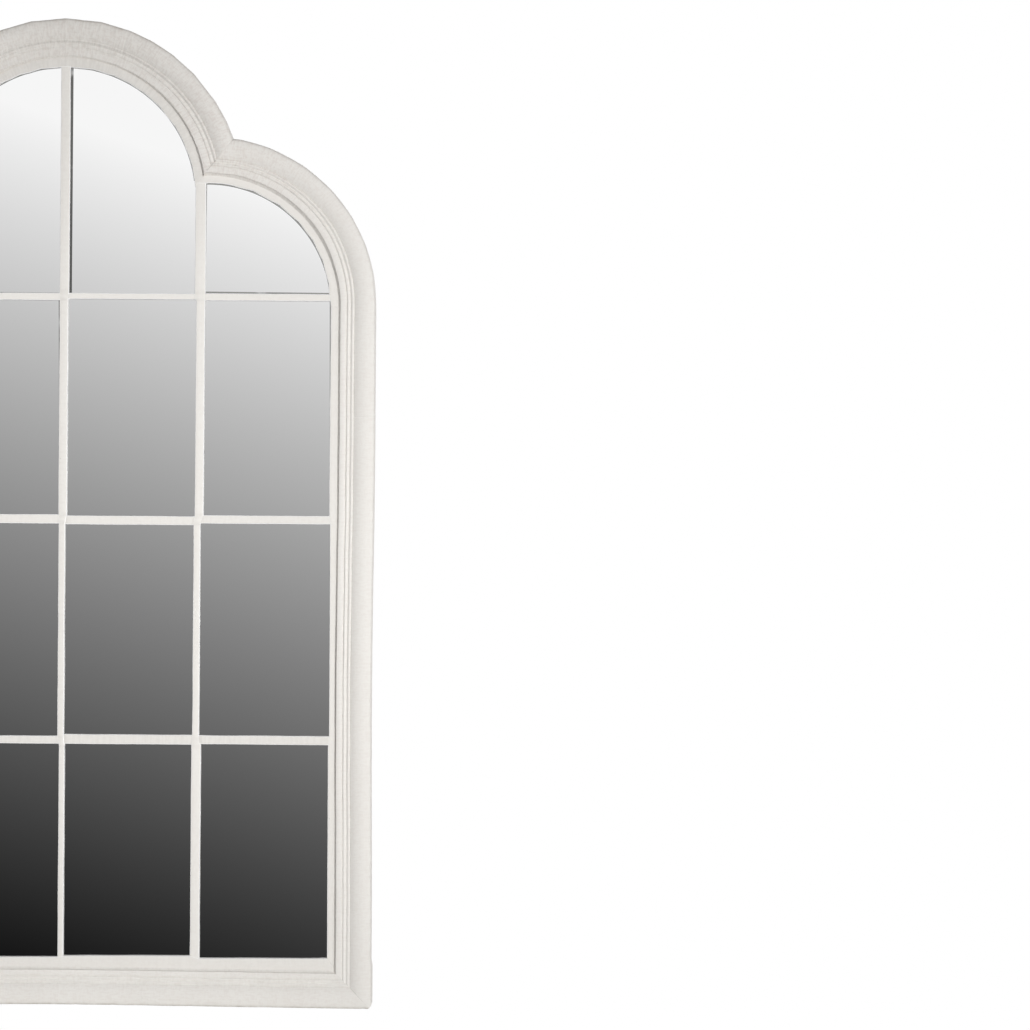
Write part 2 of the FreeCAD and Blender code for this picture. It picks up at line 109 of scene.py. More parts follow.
class MirrorSection(bpy.types.PropertyGroup):
    """Section of the moulding and the slip, inset from the outer edge and raised from the back."""

    arris_radius: length("Arris radius", "Rounding of the outer front edge", 0.009)
    arris_foot: length("Arris foot", "Level at which that rounding starts", 0.024)
    arris_inset: length("Arris inset", "Inset at which it meets the band", 0.0029)
    arris_level: length("Arris level", "Level at which it meets the band", 0.0306)
    crest_inset: length("Crest inset", "Inset of the band's highest line", 0.016)
    crest_level: length("Crest level", "Level of the band's highest line", 0.033)
    band: length("Band", "Width of the broad outer band", 0.038)
    bead_foot: length("Bead foot", "Level at which the beads stand", 0.0265)
    outer_bead: length("Outer bead", "Width of the small round next to the band", 0.005)
    outer_bead_rise: length("Outer bead rise", "Height of that small round", 0.0017)
    groove: length("Groove", "Width of the hollow between the small rounds", 0.0035)
    groove_depth: length("Groove depth", "Depth of that hollow", 0.0010)
    middle_bead: length("Middle bead", "Width of the second small round", 0.004)
    middle_bead_rise: length("Middle bead rise", "Height of the second small round", 0.0013)
    quirk: length("Quirk", "Width of the sunk line beside the inner bead", 0.002)
    quirk_depth: length("Quirk depth", "Depth of the sunk line", 0.001)
    inner_bead: length("Inner bead", "Width of the broad inner round", 0.0108)
    inner_bead_rise: length("Inner bead rise", "Height of the broad inner round", 0.0007)
    wall: length("Wall", "Width of the slope down to the slip", 0.0030)
    lip_top: length("Lip top", "Level of the slope's foot", 0.020)
    slip_front: length("Slip front", "Level of the slip's face", 0.018)
    slip_flange: length("Slip flange", "Level of the back of the slip's flange", 0.012)
    glass_back: length("Glass back", "Level of the back of the panes", 0.008)
    rebate: length("Rebate", "Inset of the rebate at the back", 0.057)
    slip_edge: length("Slip edge", "Inset of the slip's hidden edge", 0.0573)
    glass_rebate: length("Glass rebate", "Inset of the slip's step for the panes", 0.0765)
    sight: length("Sight", "Inset of the slip's inner edge", 0.081)
    bar_half: length("Bar half width", "Half the nominal width of a glazing bar", 0.007)
    web_half: length("Web half width", "Half the width of the web between two panes", 0.0025)


class MirrorColours(bpy.types.PropertyGroup):
    """Colours of the finishes."""

    paint: tint("Paint", "Warm off-white paint", "#F1EEE9")
    stroke: tint("Stroke", "Valleys between the brush lines", "#DAD0C9")
    # The glaze colour also paints shade: on walls that face away from the light, towards the crown's top and
    # as the slip's shadow
    glaze_and_shade: tint("Glaze", "Old wax and dust held in the hollows", "#88837A")
    # The worn colour also paints shade along outer arrises that face up or down
    worn_paint_and_shade: tint("Worn paint", "Primer that shows where edges are rubbed", "#C4BDB1")
    # Painted highlight along the arrises of the slip and the bars
    painted_arris_highlight: tint("Arris", "Paint rubbed bright along the edges beside the panes", "#FFFFFF")
    pine: tint("Pine", "Pale early wood on the unpainted back", "#DCC29B")
    pine_line: tint("Pine line", "Darker late wood on the unpainted back", "#B98F5C")
    silver: tint("Silver", "Silvering seen through clear glass", "#F6F6F6")
    # This colour and the next draw painted shadow lines along the pane edges as darkened silvering
    edge_shadow_silver: tint("Tarnish", "Dulled edge of the silvering", "#A8A8A6")
    dark_edge_shadow_silver: tint("Black tarnish", "Blackened edge beside the centre bar", "#6C6C6B")
    backing: tint("Backing", "Grey-green paint on the back of the panes", "#6E756F")
    fibreboard: tint("Fibreboard", "Pressed fibre of the back board", "#A9855A")
    fibre: tint("Fibre", "Darker flecks in the board", "#7C5C3A")
    zinc: tint("Zinc", "Bright zinc plate on steel", "#C3C5C2")
    zinc_dull: tint("Dull zinc", "Clouded places in the plate", "#9A9C99")
    rubber: tint("Rubber", "Black rubber", "#2A2A2B")
    beech: tint("Beech", "Beech dowels", "#CDA679")
    fleck: tint("Fleck", "Flecks in the beech", "#A47C52")
    floor: tint("Floor", "Pale paint of the floor", "#F4F4F2")


class MirrorStage(bpy.types.PropertyGroup):
    """Camera and light."""

    camera_across: length("Camera across", "How far right of the centre line the camera stands", 0.798)
    camera_height: length("Camera height", "Height of the camera", -0.2765)
    camera_depth: length("Camera depth", "Depth at which the camera stands", -5.0)
    picture_width: length("Picture width", "Width that the picture takes in at the wall", 1.828)
    camera_roll: amount("Camera roll", "Turn about the line of sight", math.radians(-0.42), "ANGLE")
    lamp_place: position("Lamp place", "Where the soft box stands", (2.9, -6.0, -0.45))
    lamp_aim: position("Lamp aim", "Where the lamps point", (-0.1, 0.0, -0.38))
    lamp_power: amount("Lamp power", "Power of the soft box", 17.3, "POWER")
    lamp_spread: amount("Lamp spread", "Angle of the soft box's light", math.radians(40), "ANGLE")
    lamp_size: length("Lamp size", "Side of each square lamp", 1.2)
    back_lamp_place: position("Back lamp place", "Where the right lamp behind stands", (2.6, 3.2, 0.6))
    back_lamp_power: amount("Back lamp power", "Power of each lamp behind", 42, "POWER")
    light_below: amount("Light from below", "Soft light from the floor side", 0.33)
    light_above: amount("Light from above", "Soft light from the ceiling side", 0.205)


# Small helpers for numbers, meshes and nodes

UV_NAME = "along_and_across"
MERGE_DISTANCE = 1e-6
smooth_degrees = 35


def share(value, low, high):
    """How far a value lies between two others, held between zero and one."""
    return min(1.0, max(0.0, (value - low) / (high - low)))


def hump(value, middle, half):
    """A smooth hump, one at its middle and fading out to both sides."""
    return math.exp(-((value - middle) / half) ** 2)


def uneven(along, across, seed, pitch):
    """Smooth unevenness between about -1 and 1 with humps about a pitch apart."""
    return noise.noise(Vector((along / pitch, across / pitch, seed)))


def feed(made, inputs):
    """Gives a node's inputs, in order or by name, their values or their links."""
    for key, value in inputs.items() if isinstance(inputs, dict) else enumerate(inputs):
        if isinstance(value, bpy.types.NodeSocket):
            made.id_data.links.new(value, made.inputs[key])
        else:
            made.inputs[key].default_value = value


def add_node(tree, kind, inputs=(), out=0, **settings):
    """Adds a node with its settings, values and links, and hands back one of its outputs."""
    made = tree.nodes.new("ShaderNode" + kind)
    for key, value in settings.items():
        setattr(made, key, value)
    feed(made, inputs)
    return made.outputs[out]


def verts_of(geometry):
    """The vertices among the parts that an operator made."""
    return [part for part in geometry if isinstance(part, bmesh.types.BMVert)]


def slice_mesh(bm, place, facing, parts=None, **options):
    """Cuts a mesh, or some of its parts, along a plane."""
    geom = parts or bm.verts[:] + bm.edges[:] + bm.faces[:]
    bmesh.ops.bisect_plane(bm, geom=geom, dist=MERGE_DISTANCE, plane_co=place, plane_no=facing, **options)


def soften_edges(bm, edges, offset, segments):
    """Rounds some edges of a mesh."""
    bmesh.ops.bevel(
        bm, geom=edges, offset=offset, offset_type="OFFSET", affect="EDGES", segments=segments, profile=0.5,
        material=-1
    )


def sharp_edges(bm, degrees):
    """Edges at which two faces turn by more than an angle."""
    return [edge for edge in bm.edges if edge.calc_face_angle(0) > math.radians(degrees)]


def close_ends(bm):
    """Closes the open ends of a bar."""
    bmesh.ops.holes_fill(bm, edges=[edge for edge in bm.edges if edge.is_boundary], sides=0)


def merged_copy(node):
    """A copy of a CAD node's mesh with its loose triangles joined."""
    bm = bmesh.new()
    bm.from_mesh(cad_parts[node].data)
    bmesh.ops.remove_doubles(bm, verts=bm.verts, dist=MERGE_DISTANCE)
    return bm


def new_object(bm, name, finishes):
    """Turns a mesh into an object of the scene, with its finishes."""
    mesh = bpy.data.meshes.new(name)
    bm.to_mesh(mesh)
    bm.free()
    for finish in finishes:
        mesh.materials.append(finish)
    made = bpy.data.objects.new(name, mesh)
    bpy.context.scene.collection.objects.link(made)
    return made


def finish_piece(bm, node, ending, finishes, body="frame", crease=smooth_degrees):
    """Closes a mesh into a piece that stands for its CAD node and rides on its body."""
    bmesh.ops.remove_doubles(bm, verts=bm.verts, dist=MERGE_DISTANCE)
    bmesh.ops.recalc_face_normals(bm, faces=bm.faces)
    for face in bm.faces:
        face.smooth = True
    for edge in bm.edges:
        edge.smooth = edge.calc_face_angle(0) < math.radians(crease)
    piece = new_object(bm, node + ending, finishes)
    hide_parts(node)
    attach(piece, body)


# Drawing sections with runs and rounds

def round_centre(start, through, end):
    """Centre of the circle through three places in a plane."""
    first = through - start
    second = end - start
    cross = 2 * (first.x * second.y - first.y * second.x)
    across = (second.y * first.length_squared - first.y * second.length_squared) / cross
    up = (first.x * second.length_squared - second.x * first.length_squared) / cross
    return start + Vector((across, up))


def draw_section(bm, at, moves):
    """Closed wire at a place along X.  A move is (end,) for a run or (through, end, steps) for a round."""
    first = bm.verts.new((at, *moves[0][-1]))
    last = first
    for move in moves[1:]:
        end = Vector(move[-1] if len(move) == 1 else move[1])
        if len(move) == 1:
            last = bmesh.ops.extrude_vert_indiv(bm, verts=[last])["verts"][0]
        else:
            start = last.co.yz
            centre = round_centre(start, Vector(move[0]), end)
            turns = [math.atan2(p.y - centre.y, p.x - centre.x) for p in (start, Vector(move[0]), end)]
            part = (turns[1] - turns[0]) % math.tau
            whole = (turns[2] - turns[0]) % math.tau
            angle = whole if part <= whole else whole - math.tau
            spun = bmesh.ops.spin(
                bm, geom=[last], cent=(at, *centre), axis=(1, 0, 0), dvec=(0, 0, 0), angle=angle,
                steps=move[2]
            )
            last = verts_of(spun["geom_last"])[0]
        last.co = (at, *end)
    bm.edges.new((last, first))


def plate(start, end, moves):
    """A solid of one section, straight along X, closed at both ends."""
    bm = bmesh.new()
    draw_section(bm, start, moves)
    face = bmesh.ops.contextual_create(bm, geom=bm.edges[:])["faces"]
    grown = bmesh.ops.extrude_face_region(bm, geom=face)["geom"]
    bmesh.ops.translate(bm, vec=(end - start, 0, 0), verts=verts_of(grown))
    return bm


def sweep(moves, start, end, pitch):
    """A bar of one section, straight along X, open at both ends."""
    bm = bmesh.new()
    draw_section(bm, start, moves)
    grown = bmesh.ops.extrude_edge_only(bm, edges=bm.edges[:])["geom"]
    bmesh.ops.translate(bm, vec=(end - start, 0, 0), verts=verts_of(grown))
    lengthwise = [edge for edge in bm.edges if edge.verts[0].co.x != edge.verts[1].co.x]
    bmesh.ops.subdivide_edges(bm, edges=lengthwise, cuts=round((end - start) / pitch) - 1)
    return bm


def lay_uv(bm, front):
    """Lays the UV map along and across a straight bar, in metres."""
    layer = bm.loops.layers.uv.new(UV_NAME)
    for face in bm.faces:
        for loop in face.loops:
            loop[layer].uv = (loop.vert.co.x, loop.vert.co.y + front - loop.vert.co.z)


joint_glaze_share = 0.14
rim_parts = 100


def trim(bm, cuts, sink):
    """Cuts a bar at its joints, sinks each end a little for the joint line, and closes the ends."""
    glaze_and_shade = bm.verts.layers.float["glaze_and_shade"]
    for place, away in cuts:
        spot = Vector((place.x, 0, place.y))
        facing = Vector((away.x, 0, away.y))
        slice_mesh(bm, spot, facing, clear_outer=True)
        slice_mesh(bm, spot - facing * sink, facing)
        rim = [v for v in bm.verts if abs((v.co - spot).dot(facing)) < sink / rim_parts]
        middle = sum((v.co for v in rim), Vector()) / len(rim)
        for v in rim:
            v.co += (middle - v.co).normalized() * sink
            v[glaze_and_shade] = max(v[glaze_and_shade], joint_glaze_share)
    close_ends(bm)


# The outline of the frame

def meeting(outline, inset):
    """Where the crown's and the right shoulder's arcs cross, drawn in by an inset."""
    crown = outline.crown_radius - inset
    shoulder = outline.shoulder_radius - inset
    middle = Vector((0, outline.crown_centre))
    across = Vector((outline.half_width - outline.shoulder_radius, outline.spring)) - middle
    apart = across.length
    along = (apart ** 2 + crown ** 2 - shoulder ** 2) / (2 * apart)
    aside = math.sqrt(crown ** 2 - along ** 2)
    across.normalize()
    return middle + across * along + Vector((-across.y, across.x)) * aside


def side_path(outline, along):
    """Place and outward direction on the right-hand edge, measured up from the bottom corner."""
    straight = outline.spring - outline.bottom
    if along <= straight:
        return Vector((outline.half_width, outline.bottom + along)), Vector((1, 0))
    turn = (along - straight) / outline.shoulder_radius
    outward = Vector((math.cos(turn), math.sin(turn)))
    centre = Vector((outline.half_width - outline.shoulder_radius, outline.spring))
    return centre + outward * outline.shoulder_radius, outward


def crown_path(outline, along):
    """Place and outward direction on the crown's edge, measured to the right from its top."""
    turn = along / outline.crown_radius
    outward = Vector((math.sin(turn), math.cos(turn)))
    return Vector((0, outline.crown_centre)) + outward * outline.crown_radius, outward


# The rail is a little proud of straight: it rises to its middle, over a short bend there
rail_rise = 0.0050
rail_bend = 0.060


def bottom_path(outline, along):
    """Place and outward direction on the bottom edge, measured to the right from its middle."""
    lift = rail_rise * (1 - math.hypot(along, rail_bend) / outline.half_width)
    return Vector((along, outline.bottom + max(0, lift))), Vector((0, -1))


# Shares of each sweep where one sawn flat meets the next, from the top of the crown down to
# the notch and from the spring of a shoulder up to it
crown_flat_shares = (0.0, 0.16, 0.30, 0.41, 0.52, 0.65, 0.80, 0.90, 1.0)
shoulder_flat_shares = (0.0, 0.14, 0.27, 0.40, 0.53, 0.68, 0.85, 1.0)
crown_joint_corner = 2
shoulder_joint_corner = 4
fine_steps = 1000


def crown_corners(outline):
    """Places along the crown where its flats meet."""
    notch = meeting(outline, 0)
    reach = outline.crown_radius * math.atan2(notch.x, notch.y - outline.crown_centre)
    return [part * reach for part in crown_flat_shares]


def side_corners(outline):
    """Places along the side where the shoulder's flats meet."""
    notch = meeting(outline, 0)
    across = notch.x - outline.half_width + outline.shoulder_radius
    reach = outline.shoulder_radius * math.atan2(notch.y - outline.spring, across)
    straight = outline.spring - outline.bottom
    return [straight + part * reach for part in shoulder_flat_shares]


def path_flats(path, outline):
    """Corners and radius of the flats on a path."""
    if path is crown_path:
        return crown_corners(outline), outline.crown_radius
    if path is side_path:
        return side_corners(outline), outline.shoulder_radius
    return None, None


def flat_drop(corners, radius, along):
    """How far a sawn flat lies inside its arc."""
    if along < corners[0] or along > corners[-1]:
        return 0
    for low, high in zip(corners, corners[1:]):
        if along < high:
            break
    half = (high - low) / 2 / radius
    off = (along - (low + high) / 2) / radius
    return radius * (1 - math.cos(half) / math.cos(off))


def square_cut(path, outline, along, forward):
    """Cut square across a path that takes away what lies forward, or backward, of a place."""
    near = outline.crown_radius / fine_steps
    place = path(outline, along)[0]
    way = (path(outline, along + near)[0] - path(outline, along - near)[0]).normalized()
    return place, way if forward else -way


def mirrored_cut(cut):
    """The same cut on the left-hand side."""
    place, away = cut
    return Vector((-place.x, place.y)), Vector((-away.x, away.y))


def corner_cut(outline, keeps_side):
    """Mitre of the right bottom corner, keeping the stile or the rail."""
    away = Vector((-1, -1)) if keeps_side else Vector((1, 1))
    return Vector((outline.half_width, outline.bottom)), away.normalized()


def notch_cut(outline, section, keeps_crown):
    """Mitre of the right notch, keeping the crown or the shoulder."""
    notch = meeting(outline, 0)
    line = meeting(outline, section.sight) - notch
    away = Vector((-line.y, line.x)) if keeps_crown else Vector((line.y, -line.x))
    return notch, away.normalized()


def bend(bm, path, outline):
    """Lays a straight bar along a path, with its insets inwards and its levels forward."""
    for v in bm.verts:
        place, outward = path(outline, v.co.x)
        spot = place - outward * v.co.y
        v.co = (spot.x, outline.frame_back - v.co.z, spot.y)


# What differs from one path to another, and how members on the left are made from those on the right
path_seeds = {bottom_path: 2.3, side_path: 11.7, crown_path: 23.1}
path_bead_shares = {bottom_path: 0.40, side_path: 1.0, crown_path: 0.8}
path_stroke_shares = {bottom_path: 0.7, side_path: 0.4, crown_path: 1.0}
path_wear_and_shade_shares = {bottom_path: 1.0, side_path: 0.45, crown_path: 1.0}
path_flat_shares = {side_path: 0.35, crown_path: 1.0}
path_lip_shifts = {bottom_path: -0.0016, side_path: -0.0012, crown_path: 0.0016}
left_seed = 40.9
member_overrun = 0.110


def swept_members(members, moves, pitch):
    """Each member as a straight bar, with its node, path, cuts, ends and seed, and if it lies on the left."""
    for name, path, start, end, cuts in members:
        for left in (False, True) if path is side_path else (False,):
            bm = sweep(moves, start - member_overrun, end + member_overrun, pitch)
            node = name.replace("right", "left") if left else name
            seed = path_seeds[path] + (left_seed if left else 0)
            yield bm, node, path, cuts, (start, end), seed, left


# Finishes

def new_finish(name):
    """A material, the way to add nodes to it, its main shader, and the mirror's colours."""
    made = bpy.data.materials.new(name)
    made.use_nodes = True
    tree = made.node_tree
    return made, partial(add_node, tree), tree.nodes["Principled BSDF"], bpy.context.scene.mirror_colours


# Brushed oil paint on wood.  Fine brush lines run across each member, a darker glaze is dragged
# out of the hollows and also carries painted shade, rubbed arrises show the primer and carry
# painted shade where they face up or down, and a painted highlight runs along the edges beside
# the panes.  Bristle lines are near 1 mm apart, and are drawn 3.6 mm apart so that they show.
bristle_pitch = 0.0036
bristle_run = 0.012
drag_pitch = 0.0060
drag_run = 0.016
patch_size = 0.110
rub_size = 0.014
speck_spacing = 0.045
speck_radius = 0.0016
paint_relief = 0.0003
laid_share = 0.4
line_shares = (0.45, 0.61)
patch_shares = (0.35, 0.70)
drag_shares = (0.36, 0.68)
rub_shares = (0.40, 0.66)
rubbed_shares = (0.3, 0.9)
speck_share = 0.45
brush_shares = (0.3, 0.7)
paint_roughness = (0.48, 0.66)


def brushed_paint(name, stroke_share, glaze_and_shade_share, lengthwise):
    """Off-white paint with brush lines along or across a member, glaze and painted shade, specks, rubbed edges
    with painted shade, and a painted highlight.
    """
    made, node, shader, colours = new_finish(name)
    across = node("UVMap", uv_map=UV_NAME)
    place = node("TexCoord", out="Object")
    ways = [(1 / bristle_pitch, 1 / bristle_run, 1), (1 / bristle_run, 1 / bristle_pitch, 1)]
    if lengthwise:
        ways.reverse()
    main_way, laid_way = ways
    drag_way = (1 / drag_pitch, 1 / drag_run, 1)
    brushwork = []
    for way, detail, roughness in ((main_way, 3, 0.6), (laid_way, 3, 0.6), (drag_way, 2, 0.55)):
        at = node("Mapping", {"Vector": across, "Scale": way})
        hairs = {"Vector": at, "Scale": 1, "Detail": detail, "Roughness": roughness}
        brushwork.append(node("TexNoise", hairs, noise_dimensions="2D"))
    bristle, laid, drag = brushwork
    patch = node("TexNoise", {"Vector": place, "Scale": 1 / patch_size, "Detail": 2})
    rub = node("TexNoise", {"Vector": place, "Scale": 1 / rub_size, "Detail": 3})
    speck = node("TexVoronoi", {"Vector": place, "Scale": 1 / speck_spacing})
    crossed = node("Mix", {0: laid_share, 2: bristle, 3: laid}, data_type="FLOAT")
    lines = node("MapRange", (crossed, *line_shares, 0, stroke_share))
    tone = node("MapRange", (patch, *patch_shares, 0, stroke_share / 2))
    both = node("Math", (lines, tone), operation="ADD")
    pull = node("MapRange", (drag, *drag_shares, glaze_and_shade_share / 2, glaze_and_shade_share))
    rubbed = node("MapRange", (rub, *rub_shares, *rubbed_shares))
    marks = {}
    for mark in ("strokes", "glaze_and_shade", "wear_and_shade", "painted_highlight"):
        marks[mark] = node("Attribute", out="Fac", attribute_name=mark)
    # The glaze coat also lays painted shade, the worn coat also lays painted shade on arrises that face up or
    # down, and the white coat is a painted highlight
    coats = (
        (node("Math", (both, marks["strokes"]), operation="MULTIPLY"), colours.stroke),
        (node("Math", (marks["glaze_and_shade"], pull), operation="MULTIPLY", use_clamp=True), colours.glaze_and_shade),
        (node("MapRange", (speck, 0, speck_radius / speck_spacing, speck_share, 0)), colours.glaze_and_shade),
        (node("Math", (marks["wear_and_shade"], rubbed), operation="MULTIPLY"), colours.worn_paint_and_shade),
        (marks["painted_highlight"], colours.painted_arris_highlight),
    )
    dressed = (*colours.paint, 1)
    for cover, colour in coats:
        dressed = node("Mix", {0: cover, 6: dressed, 7: (*colour, 1)}, 2, data_type="RGBA")
    feed(shader, {
        "Base Color": dressed,
        "Roughness": node("MapRange", (bristle, *brush_shares, *paint_roughness)),
        "Normal": node("Bump", {"Height": bristle, "Distance": paint_relief, "Strength": 0.5}),
    })
    return made


# Planed softwood left bare.  Late wood shows as darker lines along each member, a few
# millimetres apart.
ring_pitch = 0.0045
ring_run = 0.160
pore_size = 0.0016
pore_run = 0.020
ring_shares = (0.45, 0.70)
late_wood_share = 0.85
pine_roughness = (0.60, 0.80)


def planed_pine():
    """Bare planed pine with its grain along the member."""
    made, node, shader, colours = new_finish("planed_pine_left_bare")
    across = node("UVMap", uv_map=UV_NAME)
    rings_at = node("Mapping", {"Vector": across, "Scale": (1 / ring_run, 1 / ring_pitch, 1)})
    figure = {"Vector": rings_at, "Scale": 1, "Detail": 3, "Distortion": 0.6}
    rings = node("TexNoise", figure, noise_dimensions="2D")
    pores_at = node("Mapping", {"Vector": across, "Scale": (1 / pore_run, 1 / pore_size, 1)})
    pores = node("TexNoise", {"Vector": pores_at, "Scale": 1, "Detail": 2}, noise_dimensions="2D")
    late = node("MapRange", (rings, *ring_shares, 0, late_wood_share))
    wood = {0: late, 6: (*colours.pine, 1), 7: (*colours.pine_line, 1)}
    feed(shader, {
        "Base Color": node("Mix", wood, 2, data_type="RGBA"),
        "Roughness": node("MapRange", (pores, 0, 1, *pine_roughness)),
        "Normal": node("Bump", {"Height": pores, "Distance": paint_relief, "Strength": 0.4}),
    })
    return made


# Silvered float glass.  It reflects nearly everything, sharp but for faint wiping smears.
smear_size = 0.090
smear_shares = (0.40, 0.75)
smear_roughness = 0.03


def silvered_glass():
    """Mirror silvering behind clear glass."""
    made, node, shader, colours = new_finish("silvered_float_glass")
    place = node("TexCoord", out="Object")
    smear = node("TexNoise", {"Vector": place, "Scale": 1 / smear_size, "Detail": 4})
    gloss = node("MapRange", (smear, *smear_shares, 0, smear_roughness))
    feed(shader, {"Base Color": (*colours.silver, 1), "Metallic": 1, "Roughness": gloss})
    return made


# Painted shadow along some pane edges, drawn as darkened silvering, so a dull grey line comes and goes there.
edge_shadow_break_size = 0.045
edge_shadow_break_shares = (0.24, 0.40)
edge_shadow_roughness = (0.10, 0.35)


def edge_shadow_on_silver(name, edge_shadow_silver):
    """Darkened silvering along the edge of a pane: a painted shadow line."""
    made, node, shader, colours = new_finish(name)
    place = node("TexCoord", out="Object")
    edge_shadow_breaks = node("TexNoise", {"Vector": place, "Scale": 1 / edge_shadow_break_size, "Detail": 3})
    metal = {0: node("MapRange", (edge_shadow_breaks, *edge_shadow_break_shares, 0, 1)), 6: (*colours.silver, 1), 7: (*edge_shadow_silver, 1)}
    feed(shader, {
        "Base Color": node("Mix", metal, 2, data_type="RGBA"),
        "Metallic": 1,
        "Roughness": node("MapRange", (edge_shadow_breaks, 0, 1, *edge_shadow_roughness)),
    })
    return made


# Sprayed mirror backing paint, dull and slightly pebbled
spray_size = 0.0020
backing_roughness = (0.40, 0.70)


def backing_paint():
    """Backing paint on the back and edges of a pane."""
    made, node, shader, colours = new_finish("sprayed_mirror_backing")
    place = node("TexCoord", out="Object")
    pebble = node("TexNoise", {"Vector": place, "Scale": 1 / spray_size, "Detail": 2})
    feed(shader, {
        "Base Color": (*colours.backing, 1),
        "Roughness": node("MapRange", (pebble, 0, 1, *backing_roughness)),
        "Normal": node("Bump", {"Height": pebble, "Distance": paint_relief, "Strength": 0.3}),
    })
    return made


# Pressed fibreboard, matt and speckled.  Its fibres are under a millimetre, and are drawn 2 mm
# long so that they show.
fibre_size = 0.0020
cloud_size = 0.150
fibre_shares = (0.40, 0.75)
fibre_share = 0.6
cloud_shares = (0.3, 0.7)
cloud_share = 0.3
fibreboard_roughness = (0.65, 0.85)


def pressed_fibreboard():
    """Pressed fibre with darker flecks and faint clouds."""
    made, node, shader, colours = new_finish("pressed_fibreboard")
    place = node("TexCoord", out="Object")
    fibre = node("TexNoise", {"Vector": place, "Scale": 1 / fibre_size, "Detail": 4, "Distortion": 0.8})
    cloud = node("TexNoise", {"Vector": place, "Scale": 1 / cloud_size, "Detail": 3})
    flecks = node("MapRange", (fibre, *fibre_shares, 0, fibre_share))
    clouds = node("MapRange", (cloud, *cloud_shares, 0, cloud_share))
    both = node("Math", (flecks, clouds), operation="ADD", use_clamp=True)
    board = {0: both, 6: (*colours.fibreboard, 1), 7: (*colours.fibre, 1)}
    feed(shader, {
        "Base Color": node("Mix", board, 2, data_type="RGBA"),
        "Roughness": node("MapRange", (fibre, 0, 1, *fibreboard_roughness)),
        "Normal": node("Bump", {"Height": fibre, "Distance": paint_relief, "Strength": 0.4}),
    })
    return made


# Zinc-plated steel, bright with clouded places and fine drawing marks
zinc_name = "zinc_plated_steel"
plate_size = 0.0060
mark_size = 0.0008
dull_shares = (0.35, 0.65)
zinc_roughness = (0.24, 0.46)
zinc_relief = paint_relief / 3


def zinc_plate():
    """Bright zinc plate over steel, made once for all the steel pieces."""
    if zinc_name in bpy.data.materials:
        return bpy.data.materials[zinc_name]
    made, node, shader, colours = new_finish(zinc_name)
    place = node("TexCoord", out="Object")
    cloud = node("TexNoise", {"Vector": place, "Scale": 1 / plate_size, "Detail": 3})
    marks = node("TexNoise", {"Vector": place, "Scale": 1 / mark_size, "Detail": 2})
    dull = node("MapRange", (cloud, *dull_shares))
    zinc = {0: dull, 6: (*colours.zinc, 1), 7: (*colours.zinc_dull, 1)}
    feed(shader, {
        "Base Color": node("Mix", zinc, 2, data_type="RGBA"),
        "Metallic": 1,
        "Roughness": node("MapRange", (cloud, 0, 1, *zinc_roughness)),
        "Normal": node("Bump", {"Height": marks, "Distance": zinc_relief, "Strength": 0.3}),
    })
    return made


# Moulded black rubber, matt with a faint bloom
bloom_size = 0.0050
pebble_size = 0.0007
rubber_roughness = (0.55, 0.85)
rubber_relief = paint_relief / 2


def moulded_rubber():
    """Black rubber with a faint bloom."""
    made, node, shader, colours = new_finish("moulded_black_rubber")
    place = node("TexCoord", out="Object")
    bloom = node("TexNoise", {"Vector": place, "Scale": 1 / bloom_size, "Detail": 3})
    pebble = node("TexNoise", {"Vector": place, "Scale": 1 / pebble_size, "Detail": 1})
    feed(shader, {
        "Base Color": (*colours.rubber, 1),
        "Roughness": node("MapRange", (bloom, 0, 1, *rubber_roughness)),
        "Normal": node("Bump", {"Height": pebble, "Distance": rubber_relief, "Strength": 0.4}),
    })
    return made


# Turned beech, fine and pale with short darker flecks
fleck_run = 0.0050
fleck_width = 0.0008
fleck_shares = (0.5, 0.75)
beech_roughness = (0.5, 0.7)


def turned_beech():
    """Beech with short flecks along its grain."""
    made, node, shader, colours = new_finish("turned_beech")
    place = node("TexCoord", out="Object")
    along = (1 / fleck_width, 1 / fleck_width, 1 / fleck_run)
    fleck_at = node("Mapping", {"Vector": place, "Scale": along})
    fleck = node("TexNoise", {"Vector": fleck_at, "Scale": 1, "Detail": 2})
    wood = {0: node("MapRange", (fleck, *fleck_shares)), 6: (*colours.beech, 1), 7: (*colours.fleck, 1)}
    feed(shader, {
        "Base Color": node("Mix", wood, 2, data_type="RGBA"),
        "Roughness": node("MapRange", (fleck, 0, 1, *beech_roughness)),
    })
    return made


# The moulded frame.  Its section is drawn with these numbers of steps in the rounds, and hand work
# strays from the true shape: flats fade out across the band, the outer edge waves, the arris is
# nicked and the beads wander.
arris_steps = 5
band_steps = 14
bead_steps = (7, 5, 6, 4, 8)
flat_fade_start = 0.003
flat_fade_end = 0.016
edge_wave = 0.0005
edge_wave_pitch = 0.045
edge_ripple = 0.0003
edge_ripple_pitch = 0.013
nick_depth = 0.0024
nick_pitch = 0.021
nick_start_share = 0.42
face_wave = 0.0004
face_wave_pitch = 0.055
bead_wave = 0.0004
bead_wave_pitch = 0.070
member_pitch = 0.005
joint_softening = 0.0005
corner_radius = 0.012
corner_cuts = 9
shoulder_growth = 0.0029
shoulder_growth_turn = math.radians(32)
stile_bow = 0.0026
stile_bow_middle = 0.564
stile_bow_half = 0.44
foot_growth = 0.0018
foot_growth_end = 0.077
foot_growth_fade = 0.006
crown_flattening_share = 0.55
flattening_power = 3
soft_crown_share = 0.35
soft_foot_share = 0.40
soft_foot_start = 0.05
soft_foot_end = 0.45
rail_wall_share = 0.45
notch_wall_share = 0.40
lip_fade_parts = 3
back_facing_share = 0.7
moulding_stroke_share = 0.38
rail_stroke_share = 0.30
moulding_glaze_and_shade_share = 1.0

